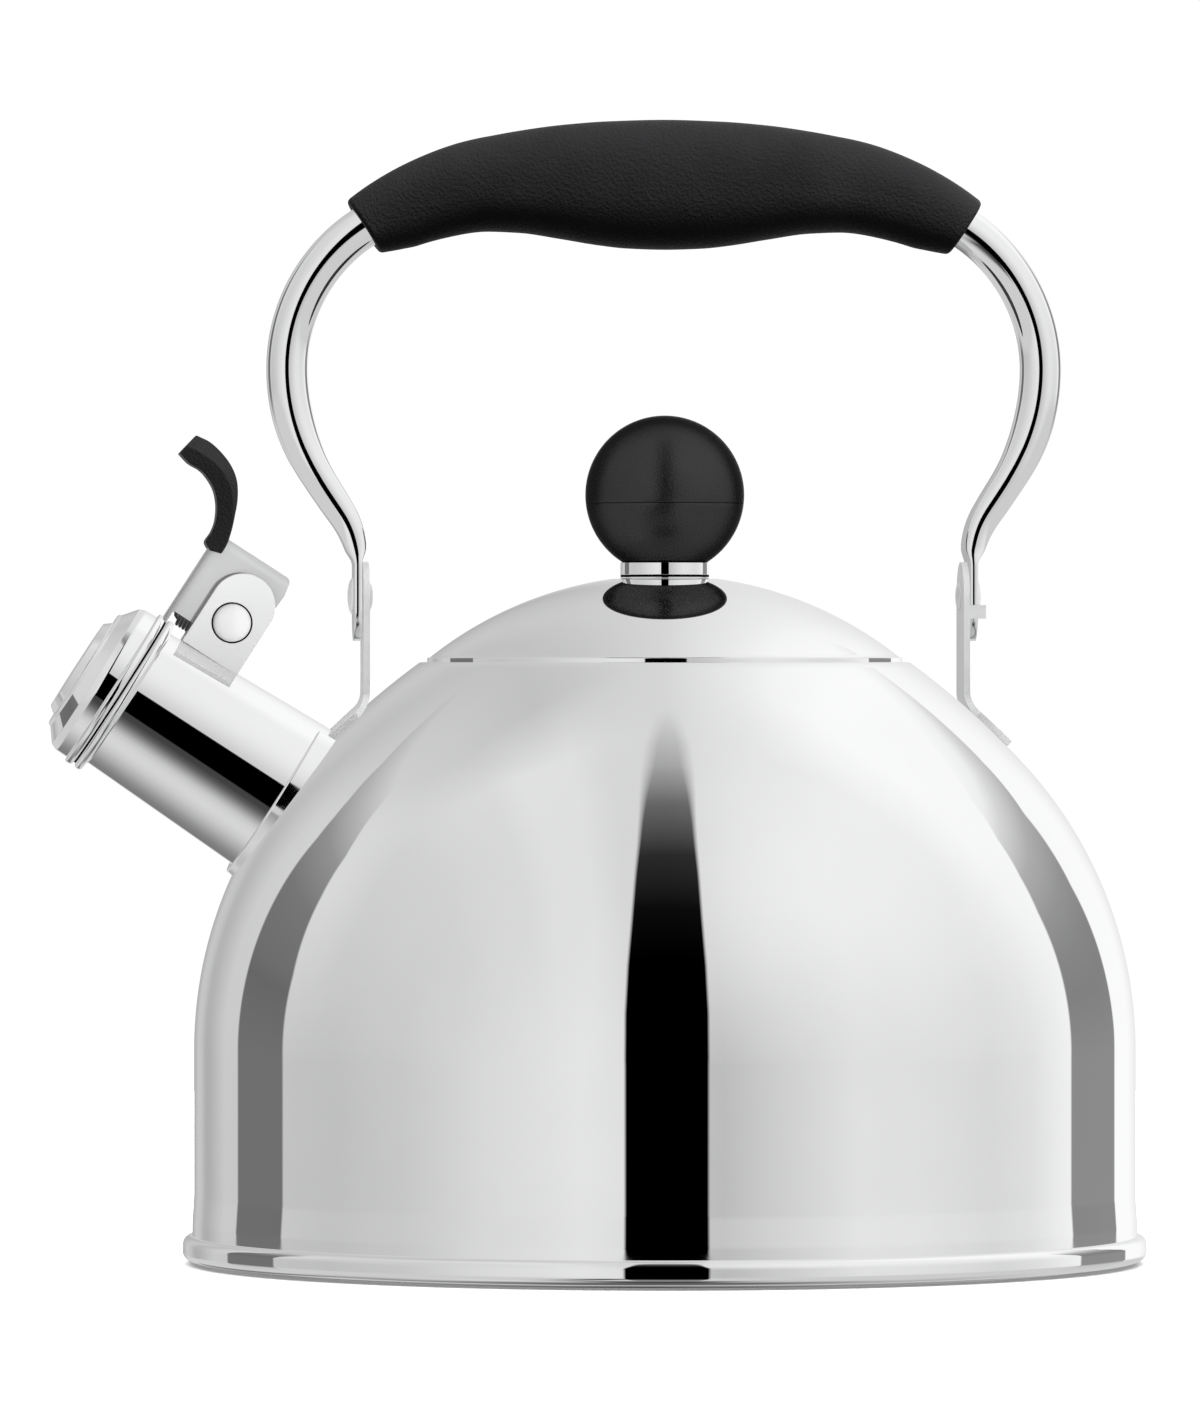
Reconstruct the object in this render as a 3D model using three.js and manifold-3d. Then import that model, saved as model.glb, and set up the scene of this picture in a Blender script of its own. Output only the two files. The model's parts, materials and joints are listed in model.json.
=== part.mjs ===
// Stovetop whistling kettle. Millimetres, +Z up, origin at the centre of the base.
// The spout points along -X. The bail handle folds forward, towards -Y.
import * as THREE from 'three';
import Module from 'manifold-3d';
import { mergeVertices } from 'three/addons/utils/BufferGeometryUtils.js';

const wasm = await Module();
wasm.setup();

// ---- driving dimensions ----
const GAP = 0.3;                 // clearance kept between pieces that touch
const SHEET = 0.8;               // thickness of the pressed steel sheet
const ROUND_BODY = 44;           // facets round the body
const ROUND_LID = 36;            // facets round the lid
const ROUND_SPOUT = 24;          // facets round the spout and whistle
const ROUND_SMALL = 16;          // facets round pins and screws

const BODY_R = 100;              // upright side wall
const BEAD_R = 102.4;            // rolled bead at the base
const FLARE = 0.4;               // the wall opens by this much just above the bead
const WALL_TOP = 45.5;           // height where the side wall starts to curve in
const SHOULDER_R = 89.3;         // arc of the shoulder
const CROWN_R = 171.3;           // flatter arc from the shoulder to the mouth
const SHOULDER_END = 43;         // elevation where the two arcs meet, degrees
const CROWN_END = 53.7;          // elevation where the crown reaches the mouth, degrees
const LEDGE_Z = 126.7;           // ledge that the lid rests on
const LEDGE_OUTER_R = 51;
const NECK_R = 46.7;             // inside of the turned-down neck
const NECK_BOTTOM = 116.5;

const LID_R = 50.5;
const LID_SPHERE_R = 80;
const LID_SPHERE_Z = 66.2;
const LID_SEAT_Z = 145.4;        // flat spot that carries the knob
const KNOB_R = 16.9;
const KNOB_Z = 163.2;            // centre of the ball
const KNOB_BOTTOM = 148.9;
const KNOB_PARTING = 161.4;      // joint between the two halves of the ball
const COLLAR_R = 9.45;
const BOSS_TOP = 146.8;          // joint between the two rings under the knob

const SPOUT_ROOT = new THREE.Vector3(-81.9, 0, 99.4);
const SPOUT_RISE = 32.9;         // degrees above the horizontal
const SPOUT_LENGTH = 38.4;       // body to lip
const SPOUT_ROOT_R = 17.6;
const SPOUT_MOUTH_R = 16.2;
const SPOUT_WALL = 1;
const LIP_R = 18.5;
const PIN_T = 25.1;              // lever pin: height above the spout axis
const PIN_S = 28.6;              // lever pin: distance along the spout from its root
const PIN_R = 2;
const CHANNEL_Y = 6.4;           // half width of the lever channel
const EAR_Y = 6.9;               // inside face of each bracket ear
const EAR_SHEET = 1.2;

const PIVOT_Z = 141.7;           // handle rivets
const LEG_X = 65.5;              // middle of the flattened tube ends
const TUBE_R = 4.45;
const STRIP_X = 63.1;            // inside face of the handle brackets
const STRIP_SHEET = 1.3;
const RIVET_R = 1.9;
const GRIP_SCREW_X = 24;

// ---- materials ----
const finish = (color, roughness, metalness) => new THREE.MeshStandardMaterial({ color, roughness, metalness });
const STEEL = finish(0xd9dbdd, 0.08, 1);
const SATIN_STEEL = finish(0xb9bcbf, 0.3, 1);
const ALUMINIUM = finish(0xc3c5c8, 0.45, 1);
const BRASS = finish(0xc9a24d, 0.35, 1);
const BLACK = finish(0x202022, 0.55, 0);

// ---- helpers ----
const radians = THREE.MathUtils.degToRad;

function arc(centreR, centreZ, radius, from, to, steps) {
  return Array.from({ length: steps + 1 }, (_, i) => {
    const angle = radians(from + (to - from) * i / steps);
    return [centreR + radius * Math.cos(angle), centreZ + radius * Math.sin(angle)];
  });
}

function signedVolume(position, index) {
  const a = new THREE.Vector3();
  const b = new THREE.Vector3();
  const c = new THREE.Vector3();
  let sum = 0;
  for (let i = 0; i < index.length; i += 3) {
    a.fromBufferAttribute(position, index[i]);
    b.fromBufferAttribute(position, index[i + 1]);
    c.fromBufferAttribute(position, index[i + 2]);
    sum += a.dot(b.cross(c));
  }
  return sum;
}

// Shared vertices merged, empty triangles dropped and faces turned outwards.
function welded(geometry) {
  geometry.deleteAttribute('normal');
  geometry.deleteAttribute('uv');
  const merged = mergeVertices(geometry, 1e-3);
  const source = merged.index.array;
  const index = [];
  for (let i = 0; i < source.length; i += 3) {
    const [a, b, c] = [source[i], source[i + 1], source[i + 2]];
    if (a !== b && b !== c && c !== a) index.push(a, b, c);
  }
  if (signedVolume(merged.attributes.position, index) < 0) index.reverse();
  merged.setIndex(index);
  return merged;
}

function toSolid(geometry) {
  const clean = welded(geometry);
  return new wasm.Manifold(new wasm.Mesh({
    numProp: 3,
    vertProperties: new Float32Array(clean.attributes.position.array),
    triVerts: new Uint32Array(clean.index.array),
  }));
}

function toGeometry(solid) {
  const mesh = solid.getMesh();
  const geometry = new THREE.BufferGeometry();
  geometry.setAttribute('position', new THREE.BufferAttribute(new Float32Array(mesh.vertProperties), 3));
  geometry.setIndex(Array.from(mesh.triVerts));
  return geometry;
}

// A body of revolution about Z. A profile that starts off the axis closes on itself.
function turned(profile, segments) {
  const points = profile.map(([r, z]) => new THREE.Vector2(r, z));
  if (profile[0][0] > 0) points.push(points[0].clone());
  return new THREE.LatheGeometry(points, segments).rotateX(Math.PI / 2);
}

const turnedSolid = (profile, segments) => toSolid(turned(profile, segments));

function rod(radius, from, to, segments = ROUND_SMALL) {
  return turned([[0, from], [radius, from], [radius, to], [0, to]], segments);
}

function box(x0, x1, y0, y1, z0, z1) {
  const geometry = new THREE.BoxGeometry(x1 - x0, y1 - y0, z1 - z0);
  return geometry.translate((x0 + x1) / 2, (y0 + y1) / 2, (z0 + z1) / 2);
}

// A flat outline given as (x, z), pushed out from y0 to y1.
function plateXZ(shape, y0, y1, curveSegments = 6) {
  const geometry = new THREE.ExtrudeGeometry(shape, { depth: y1 - y0, bevelEnabled: false, curveSegments });
  return geometry.rotateX(Math.PI / 2).translate(0, y1, 0);
}

// A closed skin through rings of points, with a flat cap at each end.
function loft(rings) {
  const size = rings[0].length;
  const points = rings.flat();
  const index = [];
  for (let r = 0; r + 1 < rings.length; r++) {
    for (let i = 0; i < size; i++) {
      const a = r * size + i;
      const b = r * size + (i + 1) % size;
      index.push(a, b, a + size, b, b + size, a + size);
    }
  }
  const last = (rings.length - 1) * size;
  for (let i = 1; i + 1 < size; i++) {
    index.push(0, i + 1, i, last, last + i, last + i + 1);
  }
  const geometry = new THREE.BufferGeometry().setFromPoints(points);
  geometry.setIndex(index);
  return geometry;
}

// Value at x in a list of [x, value] pairs, straight between them.
function between(pairs, x) {
  if (x <= pairs[0][0]) return pairs[0][1];
  const next = pairs.findIndex(([at]) => at >= x);
  if (next < 0) return pairs[pairs.length - 1][1];
  const [x0, v0] = pairs[next - 1];
  const [x1, v1] = pairs[next];
  return v0 + (v1 - v0) * (x - x0) / (x1 - x0);
}

// ---- the dome's own surface ----
const shoulderCentre = [BODY_R - SHOULDER_R, WALL_TOP];
const crownCentre = [
  shoulderCentre[0] + (SHOULDER_R - CROWN_R) * Math.cos(radians(SHOULDER_END)),
  shoulderCentre[1] + (SHOULDER_R - CROWN_R) * Math.sin(radians(SHOULDER_END)),
];

function domeLine(offset) {
  return [
    ...arc(...shoulderCentre, SHOULDER_R + offset, 0, SHOULDER_END, 7),
    ...arc(...crownCentre, CROWN_R + offset, SHOULDER_END, CROWN_END, 3).slice(1),
  ];
}

// Solid filling the dome out to a stand-off from its surface: a cutter for what sits on it.
function domeFill(offset) {
  const line = domeLine(offset);
  const top = line[line.length - 1];
  return turnedSolid([[0, 20], [BODY_R + offset, 20], ...line, [0, top[1]]], ROUND_BODY);
}

// ---- spout frame: local x is up from the spout axis, local z runs out along it ----
const spoutTurn = new THREE.Matrix4().makeRotationY(radians(SPOUT_RISE - 90));
const spoutPlace = spoutTurn.clone().setPosition(SPOUT_ROOT);
const spoutInverse = spoutPlace.clone().invert();
const inSpoutFrame = (solid) => solid.transform(spoutInverse.elements);
const outOfSpoutFrame = (solid) => solid.transform(spoutPlace.elements);

function spoutCone(clearance) {
  return turnedSolid([
    [0, -6],
    [SPOUT_ROOT_R + clearance, -6],
    [SPOUT_ROOT_R + clearance, 0],
    [SPOUT_MOUTH_R + clearance, SPOUT_LENGTH],
    [0, SPOUT_LENGTH],
  ], ROUND_SPOUT);
}

function acrossPin(radius, y0, y1) {
  return rod(radius, y0, y1).rotateX(-Math.PI / 2).translate(PIN_T, 0, PIN_S);
}

// ---- body ----
function bodyShell() {
  const inner = domeLine(-SHEET).reverse();
  const shell = turnedSolid([
    [BODY_R + FLARE, 6.3],
    [BODY_R + FLARE, 10.8],
    [BODY_R, 13],
    ...domeLine(0),
    [LEDGE_OUTER_R + 0.5, LEDGE_Z + 0.85],
    [LEDGE_OUTER_R, LEDGE_Z + 0.5],
    [LEDGE_OUTER_R - 0.1, LEDGE_Z],
    [NECK_R + 0.6, LEDGE_Z],
    [NECK_R, LEDGE_Z - 0.6],
    [NECK_R, NECK_BOTTOM],
    [NECK_R + SHEET, NECK_BOTTOM],
    [NECK_R + SHEET, LEDGE_Z - SHEET],
    [LEDGE_OUTER_R - 0.4, LEDGE_Z - SHEET],
    ...inner,
    [BODY_R - SHEET, 13.2],
    [BODY_R + FLARE - SHEET, 11],
    [BODY_R + FLARE - SHEET, 6.3],
  ], ROUND_BODY);
  const pour = outOfSpoutFrame(toSolid(rod(15.2, -12, 12, ROUND_SPOUT)));
  return toGeometry(shell.subtract(pour));
}

function basePan() {
  return turned([
    [0, 5.4],
    [97.6, 5.4],
    [98, 5.8],
    [98, 9.6],
    [98.8, 9.6],
    [98.8, 6],
    [101.3, 6],
    [102.2, 5.2],
    [BEAD_R, 4.2],
    [BEAD_R, 3.3],
    [101.9, 1.9],
    [100.8, 1],
    [99.7, 0.9],
    [98.7, 1.8],
    [97.4, 4.6],
    [0, 4.6],
  ], ROUND_BODY);
}

function heatDisc() {
  return turned([[0, 1.1], [93.4, 1.1], [94, 1.6], [94, 4.3], [0, 4.3]], ROUND_BODY);
}

function baseCover() {
  return turned([
    [0, 0],
    [94.1, 0],
    [95.1, 0.9],
    [95.1, 4.3],
    [94.3, 4.3],
    [94.3, 1.2],
    [93.8, 0.8],
    [0, 0.8],
  ], ROUND_BODY);
}

// ---- spout ----
function spoutTube() {
  const tube = turnedSolid([
    [SPOUT_ROOT_R, -6],
    [SPOUT_ROOT_R, 0],
    [SPOUT_MOUTH_R, SPOUT_LENGTH - 0.2],
    [LIP_R - 0.5, SPOUT_LENGTH],
    [LIP_R, SPOUT_LENGTH + 0.5],
    [LIP_R, SPOUT_LENGTH + 1.2],
    [LIP_R - 0.5, SPOUT_LENGTH + 1.7],
    [SPOUT_MOUTH_R - 0.5, SPOUT_LENGTH + 1.7],
    [SPOUT_MOUTH_R - SPOUT_WALL, SPOUT_LENGTH + 1.2],
    [SPOUT_ROOT_R - SPOUT_WALL, 0],
    [SPOUT_ROOT_R - SPOUT_WALL, -6],
  ], ROUND_SPOUT);
  return toGeometry(tube.subtract(inSpoutFrame(domeFill(GAP))));
}

// The ring that hides the joint stops short of the handle bracket's foot.
function spoutFlange() {
  const ring = turnedSolid([
    [SPOUT_ROOT_R + 0.5, -8],
    [19.6, -8],
    [19.6, 0.5],
    [19.2, 0.9],
    [SPOUT_ROOT_R + 0.5, 0.9],
  ], ROUND_SPOUT);
  const footRoom = inSpoutFrame(toSolid(box(-72.4, -60, -11.4, 11.4, 95, 130)));
  return toGeometry(ring.subtract(inSpoutFrame(domeFill(GAP))).subtract(footRoom));
}

function spoutBracket() {
  const half = 6.85;
  const outline = new THREE.Shape();
  outline.moveTo(10, PIN_S - half);
  outline.lineTo(PIN_T + 4.3, PIN_S - half);
  outline.absarc(PIN_T + 4.3, PIN_S, half, -Math.PI / 2, Math.PI / 2, false);
  outline.lineTo(10, PIN_S + half);
  const ears = [-1, 1].map((side) => {
    const faces = [side * EAR_Y, side * (EAR_Y + EAR_SHEET)].sort((a, b) => a - b);
    return toSolid(plateXZ(outline, ...faces));
  });
  const band = toSolid(box(8, 22, -11, 11, PIN_S - half, PIN_S + half));
  const saddle = band.intersect(spoutCone(GAP + EAR_SHEET));
  const joined = saddle.add(ears[0]).add(ears[1]);
  const bores = toSolid(acrossPin(PIN_R + GAP, -12, 12));
  return toGeometry(joined.subtract(spoutCone(GAP)).subtract(bores));
}

function leverPin() {
  const head = [[2.4, 9.8], [3.7, 9.3], [4.35, 8.4], [PIN_R, 8.4]];
  const mirrored = head.map(([r, y]) => [r, -y]);
  return turned([[0, -9.9], ...mirrored, ...head.reverse(), [0, 9.9]], ROUND_SMALL + 4)
    .rotateX(-Math.PI / 2).translate(PIN_T, 0, PIN_S);
}

// Torsion spring round the pin: one leg on the saddle, the other under the lever's top web.
function leverSpring() {
  const coilR = 3.3;
  const turns = 5;
  const stepsPerTurn = 8;
  const points = [new THREE.Vector3(PIN_T - 5.9, -3, PIN_S - 2.6)];
  for (let i = 0; i <= turns * stepsPerTurn; i++) {
    const angle = Math.PI * 1.5 + Math.PI * 2 * i / stepsPerTurn;
    const along = -3 + 6 * i / (turns * stepsPerTurn);
    points.push(new THREE.Vector3(
      PIN_T + coilR * Math.cos(angle), along, PIN_S + coilR * Math.sin(angle)));
  }
  points.push(new THREE.Vector3(PIN_T + 12.6, 3, PIN_S - 3.6));
  const section = new THREE.Shape();
  section.moveTo(0.4, 0);
  section.absarc(0, 0, 0.4, 0, Math.PI, false);
  section.absarc(0, 0, 0.4, Math.PI, Math.PI * 2, false);
  return new THREE.ExtrudeGeometry(section, {
    steps: 50,
    curveSegments: 2,
    extrudePath: new THREE.CatmullRomCurve3(points),
  });
}

// ---- whistle and lever ----
const CAP_S = SPOUT_LENGTH + 2.5;    // back edge of the cap's bead

function whistleCap() {
  return turned([
    [16.9, CAP_S],
    [18.1, CAP_S],
    [LIP_R, CAP_S + 0.4],
    [LIP_R, CAP_S + 1],
    [18.1, CAP_S + 1.4],
    [17.7, CAP_S + 1.6],
    [16.9, CAP_S + 5.2],
    [14.2, CAP_S + 8.2],
    [13.6, CAP_S + 8.6],
    [11.9, CAP_S + 8.6],
    [11.9, CAP_S + 7.8],
    [13.3, CAP_S + 7.8],
    [16.1, CAP_S + 4.8],
    [16.9, CAP_S + 1.4],
  ], ROUND_SPOUT);
}

function whistleFrontPlate() {
  return turned([
    [2, CAP_S + 10.3],
    [10.6, CAP_S + 10.3],
    [11.4, CAP_S + 9.5],
    [11.4, CAP_S + 7.5],
    [13.1, CAP_S + 7.5],
    [13.1, CAP_S + 6.7],
    [10.6, CAP_S + 6.7],
    [10.6, CAP_S + 9.2],
    [10.3, CAP_S + 9.5],
    [2, CAP_S + 9.5],
  ], ROUND_SPOUT);
}

function whistleBackPlate() {
  return turned([
    [2, CAP_S + 5.6],
    [13.4, CAP_S + 5.6],
    [13.4, CAP_S + 6.4],
    [2, CAP_S + 6.4],
  ], ROUND_SPOUT);
}

// The lever's side outline, grown by a margin: front web, rounded corner, top web, pin lobe.
function leverOutline(margin) {
  const front = PIN_S + 12.7 + margin;
  const top = PIN_T + 14.5 + margin;
  const corner = 2.4 + margin;
  const outline = new THREE.Shape();
  outline.moveTo(17, front);
  outline.lineTo(top - corner, front);
  outline.absarc(top - corner, front - corner, corner, Math.PI / 2, 0, true);
  outline.lineTo(top, PIN_S - 4.6);
  outline.lineTo(top - 0.9, PIN_S - 5.8);
  outline.lineTo(PIN_T + 10.7, PIN_S - 6.3);
  outline.lineTo(PIN_T, PIN_S - 5.6);
  outline.absarc(PIN_T, PIN_S, 5.6, -Math.PI / 2, -Math.PI, true);
  outline.lineTo(PIN_T - 4.5, PIN_S + 4);
  outline.lineTo(PIN_T - 4.5, front - 1);
  outline.lineTo(17, front - 1);
  return outline;
}

function leverArm() {
  const sheet = 1;
  const front = PIN_S + 12.7 - sheet;
  const top = PIN_T + 14.5 - sheet;
  const hollow = new THREE.Shape();
  hollow.moveTo(8, front);
  hollow.lineTo(top - 1.4, front);
  hollow.absarc(top - 1.4, front - 1.4, 1.4, Math.PI / 2, 0, true);
  hollow.lineTo(top, 10);
  hollow.lineTo(8, 10);
  const inside = toSolid(plateXZ(hollow, -CHANNEL_Y + sheet, CHANNEL_Y - sheet));
  const capRoom = toSolid(rod(LIP_R + GAP, 30, 50, ROUND_SPOUT));
  const bores = toSolid(acrossPin(PIN_R + GAP, -12, 12));
  const channel = toSolid(plateXZ(leverOutline(0), -CHANNEL_Y, CHANNEL_Y));
  return toGeometry(channel.subtract(inside).subtract(capRoom).subtract(bores));
}

// Curved thumb piece moulded over the channel's corner. Outline from the lever pin, upright.
function thumbTip() {
  const outline = new THREE.Shape();
  outline.moveTo(-2.5, 14.4);
  outline.lineTo(-0.2, 18.2);
  outline.bezierCurveTo(1.2, 21.5, 2.3, 26.5, 1.5, 29.6);
  outline.bezierCurveTo(0.4, 34.2, -3.2, 37.6, -6.4, 39.6);
  outline.quadraticCurveTo(-8.8, 40.4, -11.1, 36.5);
  outline.bezierCurveTo(-8.6, 33, -3, 31.5, -2.8, 26.2);
  outline.bezierCurveTo(-2.7, 22.5, -3.6, 19.6, -5.3, 17.3);
  outline.lineTo(-5, 15.8);
  const pin = new THREE.Vector3(PIN_T, 0, PIN_S).applyMatrix4(spoutPlace);
  const blank = toSolid(plateXZ(outline, -8, 8).translate(pin.x, 0, pin.z));
  const socket = outOfSpoutFrame(toSolid(plateXZ(leverOutline(GAP), -CHANNEL_Y - GAP, CHANNEL_Y + GAP)));
  return toGeometry(blank.subtract(socket));
}

// ---- handle ----
// Middle line of one half of the tube, from its flattened end to the middle of the grip.
function handlePath() {
  const path = new THREE.Path();
  const turn = radians(33);
  const rise = radians(31.7);
  path.moveTo(LEG_X, 132.2);
  path.lineTo(LEG_X, 148.3);
  path.absarc(LEG_X + 20, 148.3, 20, Math.PI, Math.PI - turn, true);
  path.lineTo(73.3, 166.24);
  path.absarc(36.7, 190, 43.6, -turn, 0, false);
  path.absarc(44.6, 190, 35.7, 0, Math.PI / 2 - rise, false);
  path.absarc(37.09, 177.83, 50, Math.PI / 2 - rise, Math.PI / 2, false);
  path.lineTo(0, 227.83);
  return path;
}

const HALF_PATH = handlePath();
const HALF_LENGTH = HALF_PATH.getLength();

// Half thickness of the tube against the distance from its end: pressed flat, then round.
const TUBE_THICKNESS = [
  [16.8, SHEET], [19.5, 2.15], [22.5, 2.6], [26.2, 2.95], [31, 3.3], [36, 3.35], [40, 3.65], [44, 4.05],
  [52, TUBE_R],
];
const TUBE_END_WIDTH = [[0, 2.6], [0.8, 4.3], [2.4, 5.7], [5, 7]];
const TUBE_STATIONS = [
  0, 0.8, 2.4, 5, 16.8, 19.5, 22.5, 26.2, 31, 36, 40, 44, 49, 55, 61, 68, 75, 82, 89, 96, 103, 110, 117, 125,
];

// Point, and the in-plane normal, at a distance from the end of the half on one side.
function onPath(distance, side) {
  const share = Math.min(distance / HALF_LENGTH, 1);
  const point = HALF_PATH.getPoint(share);
  const tangent = HALF_PATH.getTangent(share);
  return {
    point: new THREE.Vector3(side * point.x, 0, point.y),
    normal: new THREE.Vector3(side * tangent.y, 0, -tangent.x),
  };
}

// A slot-shaped ring: a circle once both half sizes agree.
function tubeRing(distance, side, grow) {
  const { point, normal } = onPath(distance, side);
  const thin = between(TUBE_THICKNESS, distance);
  const wide = Math.min(7 - (Math.PI / 2 - 1) * thin, between(TUBE_END_WIDTH, distance));
  const count = 12;
  return Array.from({ length: count }, (_, i) => {
    const angle = Math.PI * 2 * (i + 0.5) / count;
    const across = (thin + grow) * Math.cos(angle);
    const y = (thin + grow) * Math.sin(angle) + Math.sign(Math.sin(angle)) * Math.max(wide - thin, 0);
    return point.clone().addScaledVector(normal, across).setY(y);
  });
}

function tubeSkin(grow) {
  const left = TUBE_STATIONS.map((distance) => tubeRing(distance, -1, grow));
  const right = TUBE_STATIONS.map((distance) => tubeRing(distance, 1, grow)).reverse();
  return loft([...left, ...right]);
}

function handleTube() {
  const bores = toSolid(rod(RIVET_R + GAP, -80, 80).rotateY(Math.PI / 2).translate(0, 0, PIVOT_Z));
  const screwBores = gripScrewCutter(1.8, -20, 20);
  return toGeometry(toSolid(tubeSkin(0)).subtract(bores).subtract(screwBores));
}

function gripScrewCutter(radius, y0, y1) {
  const [left, right] = [-1, 1].map((side) => toSolid(
    rod(radius, y0, y1).rotateX(-Math.PI / 2).translate(side * GRIP_SCREW_X, 0, 227.83)));
  return left.add(right);
}

// Grip sizes against the distance from the middle: above, below and beside the tube.
const GRIP_ABOVE = [[0, 15.1], [12, 14.8], [22, 14], [31, 12.7], [42, 10.5], [50, 8.9], [58, 7.7], [65, 6.7]];
const GRIP_BELOW = [[0, 12.5], [8, 12.3], [14, 11.7], [22, 10.4], [31, 8.9], [46, 9], [56, 8.9], [62, 7.7], [65, 6.7]];
const GRIP_BESIDE = [[0, 12], [30, 10.6], [50, 8.6], [65, 7.4]];
const GRIP_STATIONS = [64.8, 63.9, 61, 56, 50, 44, 38, 31, 24, 16, 8, 0];

function gripRing(fromMiddle, side) {
  const { point, normal } = onPath(HALF_LENGTH - fromMiddle, side);
  const shrink = fromMiddle > 64 ? 0.8 : 1;
  const count = 16;
  return Array.from({ length: count }, (_, i) => {
    const angle = Math.PI * 2 * i / count;
    const c = Math.cos(angle);
    const s = Math.sin(angle);
    const height = between(s > 0 ? GRIP_ABOVE : GRIP_BELOW, fromMiddle) * shrink;
    const width = between(GRIP_BESIDE, fromMiddle) * shrink;
    const up = Math.sign(s) * Math.abs(s) ** 0.85 * height;
    return point.clone().addScaledVector(normal, up).setY(Math.sign(c) * Math.abs(c) ** 0.85 * width);
  });
}

function gripHalf(side) {
  const left = GRIP_STATIONS.map((at) => gripRing(at, -1));
  const right = GRIP_STATIONS.slice(0, -1).map((at) => gripRing(at, 1)).reverse();
  const whole = toSolid(loft([...left, ...right]));
  const half = side < 0 ? box(-90, 90, -30, -0.15, 190, 260) : box(-90, 90, 0.15, 30, 190, 260);
  const shaped = toSolid(half).intersect(whole).subtract(toSolid(tubeSkin(GAP)));
  if (side < 0) return toGeometry(shaped.subtract(gripScrewCutter(1.8, -8.2, 1)));
  return toGeometry(shaped.subtract(gripScrewCutter(1.8, -1, 30)).subtract(gripScrewCutter(3.1, 6.7, 30)));
}

function gripScrew(side) {
  return turned([
    [0, -7.8],
    [1.1, -7.8],
    [1.5, -7.2],
    [1.5, 7],
    [2.8, 7],
    [2.8, 8],
    [2.2, 8.8],
    [0, 9],
  ], ROUND_SMALL - 4).rotateX(-Math.PI / 2).translate(side * GRIP_SCREW_X, 0, 227.83);
}

// ---- handle brackets and rivets ----
// Upright strip with a foot that lies on the dome. The foot near the spout is cut round it.
function handleBracket(side) {
  const strip = new THREE.Shape();
  strip.moveTo(-8, 100);
  strip.lineTo(8, 100);
  strip.absarc(0, PIVOT_Z - 0.7, 8, 0, Math.PI, false);
  const upright = toSolid(new THREE.ExtrudeGeometry(strip, { depth: STRIP_SHEET, bevelEnabled: false })
    .rotateX(Math.PI / 2).rotateZ(Math.PI / 2).translate(STRIP_X, 0, 0));
  const plan = new THREE.Shape();
  plan.moveTo(STRIP_X, -11);
  plan.absarc(65.8, -4, 7, -Math.PI / 2, 0, false);
  plan.absarc(65.8, 4, 7, 0, Math.PI / 2, false);
  plan.lineTo(STRIP_X, 11);
  const footBlank = toSolid(new THREE.ExtrudeGeometry(plan, { depth: 40, bevelEnabled: false, curveSegments: 5 })
    .translate(0, 0, 95));
  const foot = footBlank.intersect(domeFill(GAP + STRIP_SHEET));
  const bore = toSolid(rod(RIVET_R + GAP, 50, 80).rotateY(Math.PI / 2).translate(0, 0, PIVOT_Z));
  let bracket = upright.add(foot).subtract(domeFill(GAP)).subtract(bore);
  if (side > 0) return toGeometry(bracket.add(toSolid(box(STRIP_X, 67.8, -8, -7, 136.9, 139.8))));
  bracket = bracket.mirror([1, 0, 0]);
  return toGeometry(bracket.subtract(outOfSpoutFrame(spoutCone(0.5))));
}

function handleRivet(side) {
  const geometry = turned([
    [0, 62.1],
    [2.4, 62.1],
    [3, 62.4],
    [3, 62.8],
    [RIVET_R, 62.8],
    [RIVET_R, 66.6],
    [3.8, 66.6],
    [3.5, 67.1],
    [2.4, 67.4],
    [0, 67.5],
  ], ROUND_SMALL);
  return geometry.rotateY(side * Math.PI / 2).translate(0, 0, PIVOT_Z);
}

// ---- lid and knob ----
const lidHeight = (radius, sphere) => LID_SPHERE_Z + Math.sqrt(sphere ** 2 - radius ** 2);
const lidAngle = (radius, sphere) => THREE.MathUtils.radToDeg(Math.acos(radius / sphere));

function lidShell() {
  const inside = LID_SPHERE_R - SHEET;
  const seatR = Math.sqrt(LID_SPHERE_R ** 2 - (LID_SEAT_Z - LID_SPHERE_Z) ** 2);
  return turned([
    [2.1, LID_SEAT_Z],
    ...arc(0, LID_SPHERE_Z, LID_SPHERE_R, lidAngle(seatR, LID_SPHERE_R), lidAngle(LID_R, LID_SPHERE_R), 6),
    [LID_R, 127.2],
    [LID_R - 0.2, 127],
    [LID_R - SHEET, 127],
    ...arc(0, LID_SPHERE_Z, inside, lidAngle(LID_R - SHEET, inside), lidAngle(seatR, inside), 6),
    [2.1, lidHeight(seatR, inside)],
  ], ROUND_LID);
}

function lidSkirt() {
  const outer = LID_SPHERE_R - SHEET - GAP;
  const inner = outer - 0.7;
  return turned([
    [45.5, 118],
    [46.2, 118],
    ...arc(0, LID_SPHERE_Z, outer, lidAngle(46.2, outer), lidAngle(40.5, outer), 2),
    ...arc(0, LID_SPHERE_Z, inner, lidAngle(40.5, inner), lidAngle(45.5, inner), 2),
  ], ROUND_LID);
}

function collarRing(bottom, top, bottomRound) {
  return turned([
    [2, bottom],
    [COLLAR_R - bottomRound, bottom],
    [COLLAR_R, bottom + bottomRound],
    [COLLAR_R, top - 0.1],
    [COLLAR_R - 0.1, top],
    [2, top],
  ], ROUND_SPOUT);
}

const knobAngle = (z, radius) => THREE.MathUtils.radToDeg(Math.asin((z - KNOB_Z) / radius));

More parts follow.
